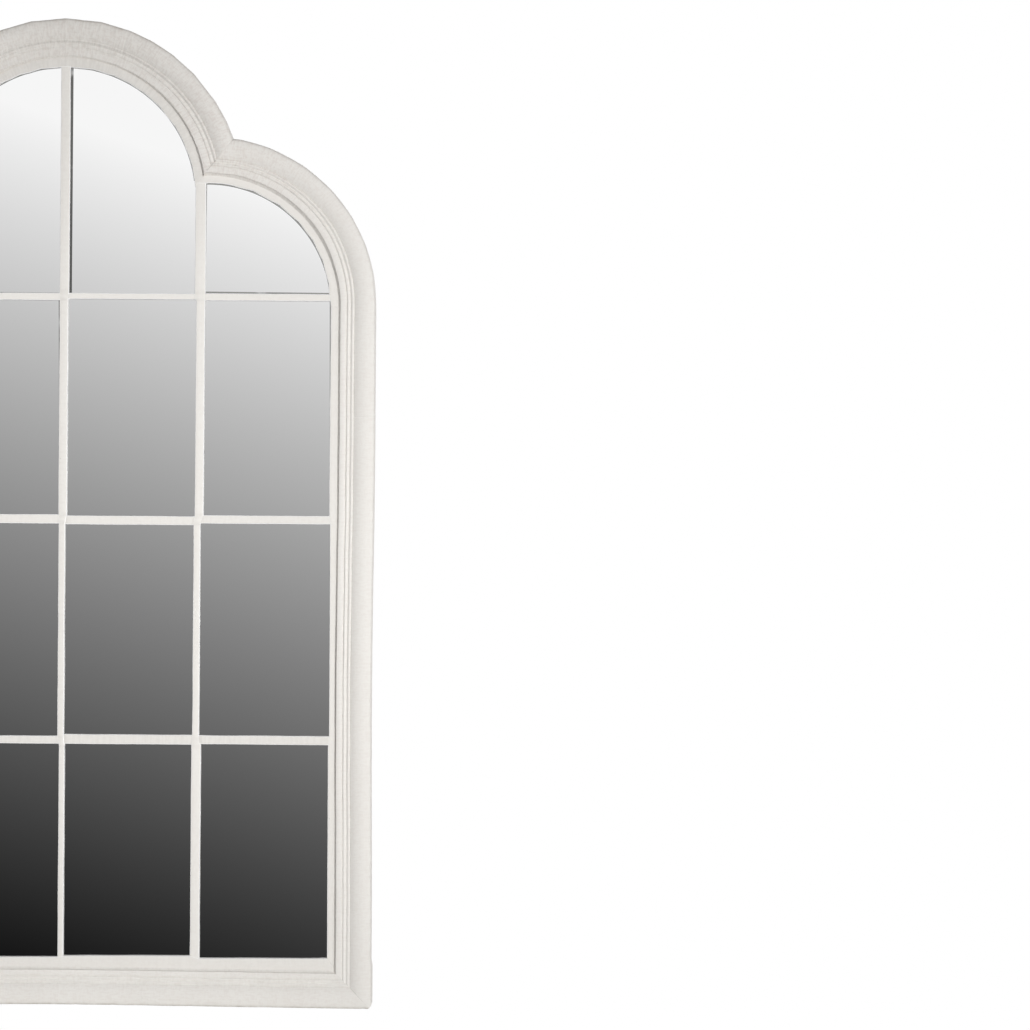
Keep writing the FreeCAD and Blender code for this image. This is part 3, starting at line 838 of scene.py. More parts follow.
# Half width and strength of the lines of glaze in the band's hollow, beside the outer bead, in the
# groove, in the quirk and on the slope, where the line is painted shade on walls that face away from
# the light; then painted shade on the crown, glaze in the notch, and worn edges with painted shade
# where they face up or down
glaze_and_shade_halves = (0.0080, 0.0012, 0.0016, 0.0012, 0.0018)
glaze_and_shade_line_shares = (0.04, 0.12, 0.05, 0.09, 0.26)
hollow_lead = 0.002
slope_parts = 3
crown_top_line_shade_share = 0.30
crown_line_inset = 0.0412
crown_line_half = 0.0016
crown_top_shade_share = 0.15
notch_glaze_share = 0.50
notch_line = 0.0012
stroke_power = 3
arris_mark_reach = 0.0030
arris_mark_foot = 0.020
arris_mark_top = 0.028
wear_share = 0.1
# Painted shade: this power makes the arris mark darkest where the arris faces up or down
arris_shade_power = 4


def bead_widths(section):
    """Widths of the rounds and hollows between the band and the slope."""
    return section.outer_bead, section.groove, section.middle_bead, section.quirk, section.inner_bead


def moulding_moves(section):
    """Section of the frame as runs and rounds, inset by level."""
    foot = section.bead_foot
    start = Vector((0, section.arris_foot))
    end = Vector((section.arris_inset, section.arris_level))
    centre = Vector((section.arris_radius, section.arris_foot))
    lean = (start + end - centre * 2).normalized() * section.arris_radius
    moves = [
        ((0, 0),),
        ((0, section.arris_foot / 2),),
        ((0, section.arris_foot),),
        (centre + lean, end, arris_steps),
        ((section.crest_inset, section.crest_level), (section.band, foot), band_steps),
    ]
    rises = (
        section.outer_bead_rise, -section.groove_depth, section.middle_bead_rise, -section.quirk_depth,
        section.inner_bead_rise
    )
    inset = section.band
    for width, rise, steps in zip(bead_widths(section), rises, bead_steps):
        moves.append(((inset + width / 2, foot + rise), (inset + width, foot), steps))
        inset += width
    lip = inset + section.wall
    return moves + [
        ((inset + section.wall / 2, (foot + section.lip_top) / 2),),
        ((lip, section.lip_top),),
        ((lip, section.slip_front),),
        ((section.rebate, section.slip_front),),
        ((section.rebate, section.slip_front / 2),),
        ((section.rebate, 0),),
        ((section.rebate / 2, 0),),
    ]


def glaze_and_shade_lines(section):
    """Inset, half width and strength of each line of glaze and painted shade."""
    groove = section.band + section.outer_bead
    quirk = groove + section.groove + section.middle_bead
    lip = section.band + sum(bead_widths(section)) + section.wall
    insets = (
        section.band - hollow_lead, section.band, groove + section.groove / 2, quirk + section.quirk / 2,
        lip - section.wall / slope_parts
    )
    return list(zip(insets, glaze_and_shade_halves, glaze_and_shade_line_shares))


def bead_share(path, along, outward):
    """How boldly the beads stand at a place: softer at the foot of a stile and at the top of the crown."""
    if path is side_path:
        return soft_foot_share + (1 - soft_foot_share) * share(along, soft_foot_start, soft_foot_end)
    if path is crown_path:
        return soft_crown_share + (1 - soft_crown_share) * abs(outward.x)
    return 1


def mark_moulding(bm, outline, section, path):
    """Marks where the glaze and painted shade lie, how brushy the paint is, and where rubbing dulls the outer
    edge, with painted shade where it faces up or down.
    """
    glaze_and_shade, wear_and_shade, strokes = (bm.verts.layers.float.new(mark) for mark in ("glaze_and_shade", "wear_and_shade", "strokes"))
    lines = glaze_and_shade_lines(section)
    plain = path_stroke_shares[path]
    for v in bm.verts:
        along, inset, level = v.co
        outward = path(outline, along)[1]
        rising = max(0, outward.y)
        if level > section.slip_front:
            # Painted shade: the slope's line grows where the wall faces sideways, away from the light, and on
            # the shoulders the hollow's line fades as they turn upwards
            fades = (1 - rising if path is side_path else 1, 1, 1, 1, abs(outward.x))
            held = [dark * hump(inset, at, half) * fade for (at, half, dark), fade in zip(lines, fades)]
            v[glaze_and_shade] = bead_share(path, along, outward) * max(held)
            # Painted shade: a dark line in the crown's hollow and a haze over the crown, both growing towards
            # its top
            if path is crown_path:
                line = crown_top_line_shade_share * hump(inset, crown_line_inset, crown_line_half) * outward.y
                v[glaze_and_shade] = max(v[glaze_and_shade], line) + crown_top_shade_share * outward.y ** 2
        # Rubbed paint along the outer arris, with painted shade on the arrises that face up or down
        rubbed = hump(inset, 0, arris_mark_reach) * share(level, arris_mark_foot, arris_mark_top)
        v[wear_and_shade] = rubbed * (wear_share + (1 - wear_share) * outward.y ** arris_shade_power) * path_wear_and_shade_shares[path]
        v[strokes] = plain + (1 - plain) * rising ** stroke_power


def spread(outline, along, notch):
    """How far hand work leaves a place along the side outside its true line, or inside it if negative."""
    straight = outline.spring - outline.bottom
    turn = (along - straight) / outline.shoulder_radius
    near_notch = share(along, notch - corner_radius, notch)
    grown = shoulder_growth * share(turn, 0, shoulder_growth_turn) * (1 - near_notch / 2)
    off = share(abs(along - stile_bow_middle), 0, stile_bow_half)
    return grown - stile_bow * math.cos(off * math.pi / 2) ** 2


def wall_share(path, outward):
    """Width of the slope down to the slip at a place, against its full width on a stile."""
    if path is bottom_path:
        return rail_wall_share
    if path is side_path:
        return 1 - (1 - notch_wall_share) * max(0, outward.y)
    return 1


def hand_shape(bm, outline, section, path, seed):
    """Saws the flats and leaves the marks of hand work on a straight member."""
    corners, radius = path_flats(path, outline)
    straight = outline.spring - outline.bottom
    foot_end = foot_growth_end + foot_growth_fade
    for v in bm.verts:
        along, inset, level = v.co
        outward = path(outline, along)[1]
        edge = 1 - share(inset, flat_fade_start, flat_fade_end)
        front = share(level, section.slip_front, section.bead_foot)
        on_face = front if inset > section.rebate / 2 else 1
        lip_shift = path_lip_shifts[path]
        if path is side_path:
            v.co.y -= max(edge, on_face) * spread(outline, along, corners[-1])
            v.co.y -= edge * foot_growth * (1 - share(along, foot_growth_end, foot_end))
            lip_shift *= 1 - share(along, straight, straight + outline.shoulder_radius / lip_fade_parts)
        if path is crown_path and inset > section.band and level > section.slip_front:
            lower = crown_flattening_share * outward.y ** flattening_power
            v.co.z -= lower * (level - section.slip_front) * share(inset, section.band, section.rebate)
        if level > section.slip_front:
            v.co.y += lip_shift * share(inset, section.rebate - section.wall, section.rebate + section.wall)
        if inset > section.band and level > section.bead_foot:
            bold = path_bead_shares[path] * bead_share(path, along, outward)
            v.co.z -= (level - section.bead_foot) * (1 - bold)
        if section.slip_front < level <= section.bead_foot and inset > section.rebate:
            steeper = 1 - wall_share(path, outward)
            v.co.y -= section.wall * steeper * share(section.bead_foot - level, 0, section.wall)
        if corners:
            v.co.y += edge * path_flat_shares[path] * flat_drop(corners, radius, abs(along))
        wave = edge_wave * (1 + uneven(along, 0, seed, edge_wave_pitch)) / 2
        ripple = edge_ripple * (1 + uneven(along, level, seed + 1, edge_ripple_pitch)) / 2
        nick = nick_depth * max(0, uneven(along, 0, seed + 2, nick_pitch) - nick_start_share)
        v.co.y += edge * (wave + ripple + nick * front)
        wander = bead_wave * uneven(along, 0, seed + 3, bead_wave_pitch)
        v.co.y += front * share(inset, section.band / 2, section.band) * wander
        hollow = face_wave * (1 + uneven(along, inset, seed + 4, face_wave_pitch)) / 2
        v.co.z -= front * (hollow + nick * edge)


def frame_members(outline, section):
    """Name, path, start, end and cuts of each member, built on the right or the centre line."""
    wide = outline.half_width
    leg = outline.leg_joint - outline.bottom
    joint = side_corners(outline)[shoulder_joint_corner]
    notch = side_corners(outline)[-1]
    crown_joint = crown_corners(outline)[crown_joint_corner]
    crown_notch = crown_corners(outline)[-1]
    across_side = partial(square_cut, side_path, outline)
    across_crown = partial(square_cut, crown_path, outline)
    rail_cut = corner_cut(outline, False)
    leg_cuts = (across_side(leg, False), across_side(joint, True))
    arch_cuts = (across_side(joint, False), notch_cut(outline, section, False))
    crown_cuts = (across_crown(crown_joint, False), notch_cut(outline, section, True))
    left_crown_cuts = [mirrored_cut(cut) for cut in crown_cuts]
    top_cut = across_crown(crown_joint, True)
    return (
        ("bottom_rail", bottom_path, -wide, wide, (rail_cut, mirrored_cut(rail_cut))),
        ("right_stile", side_path, 0, leg, (corner_cut(outline, True), across_side(leg, True))),
        ("right_lower_arch", side_path, leg, joint, leg_cuts),
        ("right_upper_arch", side_path, joint, notch, arch_cuts),
        ("right_crown_segment", crown_path, crown_joint, crown_notch, crown_cuts),
        ("left_crown_segment", crown_path, -crown_notch, -crown_joint, left_crown_cuts),
        ("crown_top_segment", crown_path, -crown_joint, crown_joint, (top_cut, mirrored_cut(top_cut))),
    )


def divide_corner(bm, end):
    """Adds cuts across a straight member near a bottom corner, so that it can be rounded."""
    for step in range(corner_cuts):
        away = corner_radius * step / (corner_cuts - 1)
        for place in (end - away, end + away):
            slice_mesh(bm, (place, 0, 0), (1, 0, 0))


def round_corner(bm, outline):
    """Rounds the bottom corners of the frame in the plane of the wall."""
    across = outline.half_width + foot_growth - corner_radius
    up = outline.bottom + corner_radius
    for v in bm.verts:
        off = Vector((abs(v.co.x) - across, v.co.z - up))
        if off.x > 0 and off.y < 0 and off.length > corner_radius:
            off *= corner_radius / off.length
            v.co.x = math.copysign(across + off.x, v.co.x)
            v.co.z = up + off.y


def darken_notch(bm, outline, section):
    """Leaves glaze in the mitre of a notch, across the beads."""
    glaze_and_shade = bm.verts.layers.float["glaze_and_shade"]
    notch = meeting(outline, 0)
    line = meeting(outline, section.sight) - notch
    for v in bm.verts:
        off = Vector((abs(v.co.x), v.co.z)) - notch
        inset = section.sight * off.dot(line) / line.length_squared
        aside = abs(off.cross(line)) / line.length
        if aside < notch_line and section.band < inset < section.rebate:
            v[glaze_and_shade] = notch_glaze_share


class MIRROR_OT_frame_members(bpy.types.Operator):
    """Make the ten moulded members of the frame"""

    bl_idname = "window_mirror.frame_members"
    bl_label = "Moulded Frame"

    def execute(self, context):
        outline = context.scene.mirror_outline
        section = context.scene.mirror_section
        paint = brushed_paint(
            "brushed_oil_paint_on_moulding", moulding_stroke_share, moulding_glaze_and_shade_share, False
        )
        rail_paint = brushed_paint("brushed_oil_paint_on_rail", rail_stroke_share, moulding_glaze_and_shade_share, True)
        pine = planed_pine()
        members = swept_members(frame_members(outline, section), moulding_moves(section), member_pitch)
        for bm, node, path, cuts, ends, seed, left in members:
            if path is bottom_path or "stile" in node:
                divide_corner(bm, ends[0])
            if path is bottom_path:
                divide_corner(bm, ends[1])
            lay_uv(bm, section.crest_level)
            mark_moulding(bm, outline, section, path)
            hand_shape(bm, outline, section, path, seed)
            bend(bm, path, outline)
            trim(bm, cuts, joint_softening)
            if path is crown_path:
                darken_notch(bm, outline, section)
            round_corner(bm, outline)
            if left:
                bmesh.ops.scale(bm, vec=(-1, 1, 1), verts=bm.verts)
            bmesh.ops.recalc_face_normals(bm, faces=bm.faces)
            for face in bm.faces:
                face.material_index = 1 if face.normal.y > back_facing_share else 0
            front_paint = rail_paint if path is bottom_path else paint
            finish_piece(bm, node, "_moulding", (front_paint, pine))
        return {"FINISHED"}


# The flat slip inside the moulding.  It is broader or narrower than drawn by these lengths, at the
# two ends of each stretch between the bars that meet it, from the left or from the foot.
bottom_slip_growth = ((0.0020, 0.0018), (0.0018, 0.0016), (0.0037, 0.0070), (0.0027, 0.0061))
side_slip_growth = ((-0.0026, -0.0014), (-0.0034, -0.0026), (-0.0008, -0.0012), (0.0, 0.0))
crown_slip_growth = ((0.0033, 0.0033),)
slip_line_shares = (0.4, 0.6, 0.8)
slip_arris = 0.0012
slip_arris_steps = 3
slip_pitch = 0.006
slip_seed = 5
slip_wave = 0.0004
slip_wave_pitch = 0.050
slip_softening = 0.0001
slip_flat_share = 0.8
slip_stroke_share = 0.10
# The slip's glaze mark is painted shadow beside the moulding, painted shade towards the crown's top and an
# even darkening on the bottom slip
slip_glaze_and_shade_share = 0.8
crown_slip_shade_share = 0.24
crown_slip_foot_share = 0.35
bottom_slip_darkening_share = 0.06
slip_shade_share = 0.20
slip_shade_reach = 0.009


def slip_moves(section):
    """Section of the slip as runs and rounds, inset by level."""
    hidden = section.slip_edge
    front = section.slip_front
    edge = section.sight - slip_arris
    top = front - slip_arris
    lean = slip_arris * math.sqrt(0.5)
    return [
        ((hidden, section.glass_back),),
        ((hidden, front),),
        *(((hidden + (edge - hidden) * part, front),) for part in slip_line_shares),
        ((edge, front),),
        ((edge + lean, top + lean), (section.sight, top), slip_arris_steps),
        ((section.sight, section.slip_flange),),
        ((section.glass_rebate, section.slip_flange),),
        ((section.glass_rebate, section.glass_back),),
    ]


def mark_slip(bm, outline, section, path):
    """Marks painted shadow where the slip meets the moulding on the sides, painted shade growing towards the
    crown's top, an even darkening on the bottom slip, and a painted highlight along the inner arris.
    """
    glaze_and_shade, strokes, painted_highlight = (bm.verts.layers.float.new(mark) for mark in ("glaze_and_shade", "strokes", "painted_highlight"))
    shown = section.rebate + section.inner_bead - section.wall
    for v in bm.verts:
        outward = path(outline, v.co.x)[1]
        # Painted highlight along the slip's inner arris
        if v.co.y > section.sight - slip_arris + MERGE_DISTANCE and v.co.z > section.slip_flange:
            v[painted_highlight] = 1
        # Painted shadow cast by the moulding on the slip, strongest on the sides
        held = slip_shade_share * abs(outward.x) * (1 - share(v.co.y, shown, shown + slip_shade_reach)) ** 2
        # Painted shade growing towards the top of the crown
        if path is crown_path:
            held += crown_slip_shade_share * (crown_slip_foot_share + (1 - crown_slip_foot_share) * outward.y)
        if path is bottom_path:
            held += bottom_slip_darkening_share
        v[glaze_and_shade] = held
        v[strokes] = 1


def bar_middle(node):
    """Middle of a glazing bar."""
    low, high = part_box(node)
    return (low + high) / 2


def edge_at(along, crossings, widths):
    """Width of an edge at a place along it, changing over at each bar that crosses or meets it."""
    here = widths[0]
    for crossing, width in zip(crossings, widths[1:]):
        turn = share(along, crossing - crossing_reach, crossing + crossing_reach)
        here = here + (width - here) * turn
    return here


def broaden(bm, outline, section, path):
    """Broadens a slip unevenly, a stretch at a time between the bars that meet it."""
    wide = outline.half_width
    places = []
    growth = crown_slip_growth
    first, last = -wide, wide
    if path is bottom_path:
        places = [bar_middle(node).x for node in planed_edges if "vertical" in node]
        growth = bottom_slip_growth
        first, last = section.sight - wide, wide - section.sight
    if path is side_path:
        places = sorted(bar_middle(node).z - outline.bottom for node in planed_edges if "cross" in node)
        growth = side_slip_growth
        first, last = section.sight, outline.spring + wide - outline.bottom
    ends = [first, *places, last]
    for v in bm.verts:
        edge = share(v.co.y, section.glass_rebate, section.sight - slip_arris)
        widths = [
            start + (end - start) * share(v.co.x, low, high)
            for (start, end), low, high in zip(growth, ends, ends[1:])
        ]
        v.co.y += edge * edge_at(v.co.x, places, widths)


def shape_slip(bm, outline, section, path, seed):
    """Planes the slip's inner edge in faint flats, lets it wave, and follows the shoulder's growth."""
    corners, radius = path_flats(path, outline)
    straight = outline.spring - outline.bottom
    for v in bm.verts:
        along, inset = v.co.xy
        edge = share(inset, section.glass_rebate, section.sight - slip_arris)
        if corners:
            v.co.y += edge * slip_flat_share * flat_drop(corners, radius - section.sight, abs(along))
        if path is side_path and along > straight:
            v.co.y -= edge * spread(outline, along, corners[-1])
        v.co.y += edge * slip_wave * uneven(along, 0, seed, slip_wave_pitch)


def slip_corner_cut(outline, section, keeps_side):
    """Mitre of the slip's right bottom corner, from its hidden edge to the corner of the pane."""
    inner = outline.half_width - section.sight
    rise = bottom_path(outline, inner)[0].y + section.sight + bottom_slip_growth[-1][1]
    outer = Vector((outline.half_width - section.slip_edge, outline.bottom + section.slip_edge))
    line = Vector((inner - side_slip_growth[0][0], rise)) - outer
    away = Vector((line.y, -line.x)).normalized()
    return outer, -away if keeps_side else away


def slip_members(outline, section):
    """Name, path, start, end and cuts of each piece of the slip."""
    wide = outline.half_width
    spring = outline.spring - outline.bottom
    notch = side_corners(outline)[-1]
    crown_notch = crown_corners(outline)[-1]
    rail_cut = slip_corner_cut(outline, section, False)
    side_cuts = (slip_corner_cut(outline, section, True), square_cut(side_path, outline, spring, True))
    shoulder_cuts = (square_cut(side_path, outline, spring, False), notch_cut(outline, section, False))
    crown_cut = notch_cut(outline, section, True)
    return (
        ("bottom_slip", bottom_path, -wide, wide, (rail_cut, mirrored_cut(rail_cut))),
        ("right_slip", side_path, 0, spring, side_cuts),
        ("right_shoulder_slip", side_path, spring, notch, shoulder_cuts),
        ("crown_slip", crown_path, -crown_notch, crown_notch, (crown_cut, mirrored_cut(crown_cut))),
    )


class MIRROR_OT_slips(bpy.types.Operator):
    """Make the flat slip between the moulding and the panes"""

    bl_idname = "window_mirror.slips"
    bl_label = "Slip"

    def execute(self, context):
        outline = context.scene.mirror_outline
        section = context.scene.mirror_section
        paint = brushed_paint("brushed_oil_paint_on_slip", slip_stroke_share, slip_glaze_and_shade_share, True)
        members = swept_members(slip_members(outline, section), slip_moves(section), slip_pitch)
        for bm, node, path, cuts, _, seed, left in members:
            lay_uv(bm, section.slip_front)
            mark_slip(bm, outline, section, path)
            broaden(bm, outline, section, path)
            shape_slip(bm, outline, section, path, seed + slip_seed)
            bend(bm, path, outline)
            trim(bm, cuts, slip_softening)
            if left:
                bmesh.ops.scale(bm, vec=(-1, 1, 1), verts=bm.verts)
            finish_piece(bm, node, "_painted", (paint,))
        return {"FINISHED"}


# Glazing bars, planed by hand.  For each stretch between crossings, how far the bar's two edges
# lie from its centre line: left and right from the head down, or above and below from the left.
planed_edges = {
    "left_vertical_bar": ((0.0072, 0.0076), (0.0078, 0.0069), (0.0066, 0.0070), (0.0074, 0.0080)),
    "centre_vertical_bar": ((0.0090, 0.0076), (0.0087, 0.0064), (0.0077, 0.0036), (0.0046, 0.0053)),
    "right_vertical_bar": ((0.0083, 0.0104), (0.0057, 0.0097), (0.0074, 0.0045), (0.0088, 0.0080)),
    "upper_cross_bar": ((0.0055, 0.0068), (0.0047, 0.0078), (0.0050, 0.0053), (0.0060, 0.0066)),
    "middle_cross_bar": ((0.0076, 0.0076), (0.0073, 0.0086), (0.0056, 0.0100), (0.0078, 0.0069)),
    "lower_cross_bar": ((0.0084, 0.0050), (0.0096, 0.0039), (0.0129, 0.0040), (0.0123, 0.0030)),
}
bar_haze_shares = {"centre_vertical_bar": 0.07, "middle_cross_bar": 0.07, "lower_cross_bar": 0.14}
bar_stroke_share = 0.10
bar_glaze_share = 0.8
bar_arris = 0.0012
bar_arris_steps = 3
bar_pitch = 0.004
bar_overrun = 0.005
bar_set_back = 0.0003
bar_wave = 0.0004
bar_wave_pitch = 0.060
bar_seed_step = 3.7
crossing_glaze_share = 0.14
crossing_glaze_half = 0.003
crossing_reach = 0.006
lap_drop = 0.0012
lap_flat = 0.0030
lap_end = 0.0036
cusp_overrun = 0.012
foot_trim = 0.006


def bar_moves(section):
    """Section of a glazing bar, across by level."""
    half = section.bar_half
    front = section.slip_front - bar_set_back
    flat = front - bar_arris
    lean = bar_arris * math.sqrt(0.5)
    edge = half - bar_arris
    web = section.web_half
    return [
        ((-web, section.glass_back),),
        ((-web, section.slip_flange),),
        ((-half, section.slip_flange),),
        ((-half, flat),),
        ((-edge - lean, flat + lean), (-edge, front), bar_arris_steps),
        ((0, front),),
        ((edge, front),),
        ((edge + lean, flat + lean), (half, flat), bar_arris_steps),
        ((half, section.slip_flange),),
        ((web, section.slip_flange),),
        ((web, section.glass_back),),
    ]


def shape_bar(bm, section, seed, crossings, edges, lapped, haze):
    """Gives each stretch of a bar its own width and sinks a lapped bar under its crossings."""
    glaze_and_shade, strokes, painted_highlight = (bm.verts.layers.float.new(mark) for mark in ("glaze_and_shade", "strokes", "painted_highlight"))
    low_edges, high_edges = zip(*edges)
    for v in bm.verts:
        along, across, level = v.co
        side = math.copysign(1, across)
        nearest = min(abs(along - crossing) for crossing in crossings)
        v[glaze_and_shade] = haze + crossing_glaze_share * hump(nearest, section.bar_half, crossing_glaze_half)
        v[strokes] = 1
        # Painted highlight along the bar's arrises
        if abs(across) > section.bar_half - bar_arris + MERGE_DISTANCE and level > section.slip_flange:
            v[painted_highlight] = 1
        if abs(across) > section.web_half:
            widths = low_edges if across < 0 else high_edges
            wave = bar_wave * uneven(along, side, seed, bar_wave_pitch)
            v.co.y += side * (edge_at(along, crossings, widths) + wave - section.bar_half)
        if lapped and level > section.slip_flange:
            v.co.z -= lap_drop * (1 - share(nearest, lap_flat, lap_end)) + bar_set_back / 2


class MIRROR_OT_glazing_bars(bpy.types.Operator):
    """Make the three upright and three level glazing bars"""

    bl_idname = "window_mirror.glazing_bars"
    bl_label = "Glazing Bars"

    def execute(self, context):
        outline = context.scene.mirror_outline
        section = context.scene.mirror_section
        sight = section.sight
        paint = brushed_paint("brushed_oil_paint_on_bars", bar_stroke_share, bar_glaze_share, True)
        middles = {node: bar_middle(node) for node in planed_edges}
        for count, (node, edges) in enumerate(planed_edges.items()):
            upright = "vertical" in node
            if upright:
                top = outline.crown_centre + outline.crown_radius - sight
                if abs(middles[node].x) > section.bar_half:
                    top = meeting(outline, sight).y + cusp_overrun
                start, end = -top, -(outline.bottom + sight + foot_trim)
                crossings = [-middles[other].z for other in planed_edges if "cross" in other]
            else:
                end = outline.half_width - sight + bar_overrun
                start = -end
                crossings = [middles[other].x for other in planed_edges if "vertical" in other]
                edges = [(below, above) for above, below in edges]
            bm = sweep(bar_moves(section), start - bar_set_back, end + bar_set_back, bar_pitch)
            lay_uv(bm, section.slip_front)
            haze = bar_haze_shares.get(node, 0)
            shape_bar(bm, section, count * bar_seed_step, crossings, edges, not upright, haze)
            for v in bm.verts:
                along, across, level = v.co
                depth = outline.frame_back - level
                if upright:
                    v.co = (middles[node].x + across, depth, -along)
                else:
                    v.co = (along, depth, middles[node].z + across)
            close_ends(bm)
            finish_piece(bm, node, "_planed", (paint,))
        return {"FINISHED"}


# Panes.  How far the painted shadow line reaches in from a pane's edges, at the two ends of each
# side from the left or from the top, and all along its arch.
edge_shadow_lines = {
    "head_pane_1": {"arch": 0.0045, "bottom": (0.0046, 0.0036), "left": (-0.0120, 0.0064)},
    "head_pane_2": {"arch": 0.0090, "bottom": (0.0027, 0.0027)},
    "head_pane_3": {"arch": 0.0090, "left": (0.0090, 0.0088)},
    "head_pane_4": {
        "arch": 0.0045, "bottom": (0.0066, 0.0056), "left": (0.0086, 0.0070), "right": (-0.0120, 0.0064)
    },
    "upper_pane_1": {"left": (0.0056, 0.0030)},
    "upper_pane_2": {"right": (0.0084, 0.0044)},
    "upper_pane_3": {},
    "upper_pane_4": {"right": (0.0052, 0.0024)},
    "middle_pane_1": {"bottom": (0.0054, 0.0040)},
    "middle_pane_2": {},
    "middle_pane_3": {},
    "middle_pane_4": {},
    "lower_pane_1": {"bottom": (0.0078, 0.0076)},
    "lower_pane_2": {"bottom": (0.0076, 0.0074)},
    "lower_pane_3": {"bottom": (0.0098, 0.0130)},
    "lower_pane_4": {"bottom": (0.0086, 0.0120)},
}
# The pane whose painted shadow line is darkest
darkest_edge_shadow_pane = "head_pane_3"
silver_slot, edge_shadow_slot, backing_slot, dark_edge_shadow_slot = range(4)
line_step = 0.0015
line_weld = line_step * 1.1
longest_arch_edge = 0.020
front_facing_share = 0.9
pane_crease_degrees = 20


def side_line(side, depths, low, high):
    """A place on the inner edge of a painted shadow line, and the direction out of the pane."""
    first, last = depths
    lines = {
        "left": ((low.x + first, high.z), (low.x + last, low.z)),
        "right": ((high.x - first, high.z), (high.x - last, low.z)),
        "bottom": ((low.x, low.z + first), (high.x, low.z + last)),
    }
    start, end = (Vector((x, low.y, z)) for x, z in lines[side])
    away = (end - start).cross(Vector((0, 1, 0))).normalized()
    inward = (low + high) / 2 - start
    return start, -away if away.dot(inward) > 0 else away


def shade_arch_edge(bm, front, reach):
    """Draws the painted shadow line along the arch of a pane, a narrow strip at a time."""
    for step in range(round(reach / line_step)):
        inset = bmesh.ops.inset_region(bm, faces=[front], thickness=line_step, use_even_offset=True)
        for strip in inset["faces"]:
            longest = max(edge.calc_length() for edge in strip.edges)
            strip.material_index = edge_shadow_slot if longest < longest_arch_edge else silver_slot
        bmesh.ops.remove_doubles(bm, verts=front.verts, dist=line_weld)


def shade_side_edge(bm, spot, away, slot):
    """Draws a painted shadow line along a straight side of a pane."""
    glass = [face for face in bm.faces if face.material_index < backing_slot]
    parts = set(glass)
    for face in glass:
        parts.update(face.edges, face.verts)
    slice_mesh(bm, spot, away, list(parts))
    for face in bm.faces:
        if face.material_index == silver_slot and (face.calc_center_median() - spot).dot(away) > 0:
            face.material_index = slot


class MIRROR_OT_panes(bpy.types.Operator):
    """Make the sixteen silvered panes with painted shadow lines at their edges"""

    bl_idname = "window_mirror.panes"
    bl_label = "Panes"

    def execute(self, context):
        colours = context.scene.mirror_colours
        finishes = (
            silvered_glass(),
            edge_shadow_on_silver("dulled_edge_of_silvering", colours.edge_shadow_silver),
            backing_paint(),
            edge_shadow_on_silver("blackened_edge_of_silvering", colours.dark_edge_shadow_silver),
        )
        for node, sides in edge_shadow_lines.items():
            bm = merged_copy(node)
            for face in bm.faces:
                face.material_index = backing_slot
            facing = [face for face in bm.faces if face.normal.y < -front_facing_share]
            front = bmesh.ops.dissolve_faces(bm, faces=facing, use_verts=False)["region"][0]
            front.material_index = silver_slot
            shade_arch_edge(bm, front, sides.get("arch", 0))
            slot = dark_edge_shadow_slot if node == darkest_edge_shadow_pane else edge_shadow_slot
            for side, depths in sides.items():
                if side != "arch":
                    shade_side_edge(bm, *side_line(side, depths, *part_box(node)), slot)
            finish_piece(bm, node, "_silvered", finishes, crease=pane_crease_degrees)
        return {"FINISHED"}


# The back board
board_inset = 0.058
board_back = 0.004
board_front = 0.008
board_arris = 0.0004
board_shoulder_steps = 32
board_crown_steps = 64
board_rim_degrees = 60
arris_segments = 2


class MIRROR_OT_back_board(bpy.types.Operator):
    """Make the fibreboard back"""

    bl_idname = "window_mirror.back_board"
    bl_label = "Back Board"

    def execute(self, context):
        outline = context.scene.mirror_outline
        side = outline.half_width - board_inset
        floor = outline.bottom + board_inset
        shoulder = outline.shoulder_radius - board_inset
        shoulder_x = outline.half_width - outline.shoulder_radius
        cusp = meeting(outline, board_inset)
        lean = math.atan2(cusp.y - outline.spring, cusp.x - shoulder_x) / 2
        turn = Vector((shoulder_x + shoulder * math.cos(lean), outline.spring + shoulder * math.sin(lean)))
        top = Vector((0, outline.crown_centre + outline.crown_radius - board_inset))
        bm = plate(board_back, board_front, [
            ((-side, floor),),
            ((side, floor),),
            ((side, outline.spring),),
            (turn, cusp, board_shoulder_steps),
            (top, Vector((-cusp.x, cusp.y)), board_crown_steps),
            (Vector((-turn.x, turn.y)), (-side, outline.spring), board_shoulder_steps),
        ])
        for v in bm.verts:
            v.co = (v.co.y, outline.frame_back - v.co.x, v.co.z)
        bmesh.ops.recalc_face_normals(bm, faces=bm.faces)
        soften_edges(bm, sharp_edges(bm, board_rim_degrees), board_arris, arris_segments)
        finish_piece(bm, "back_board", "_pressed", (pressed_fibreboard(),))
        return {"FINISHED"}


# Cross-headed screws.  The recess lines divide a head into a cross and its corners.
head_cells = 5
recess_shares = {-3: -0.46, -1: -0.14, 1: 0.14, 3: 0.46}
recess_depth = 0.0013
recess_taper_share = 0.7
rim_share = 0.99
screw_crease_degrees = 28
golden_turn = math.radians(137.5)
screw_shank = 0.00175
screw_point = 0.0003
screw_tip = 0.0028
board_screw_head = 0.0034
board_screw_sink = 0.0002
board_screw_cone = 0.0022
board_screw_length = 0.012
hanger_screw_head = 0.004
hanger_screw_rim = 0.0010
hanger_screw_dome = 0.0014
hanger_screw_length = 0.016


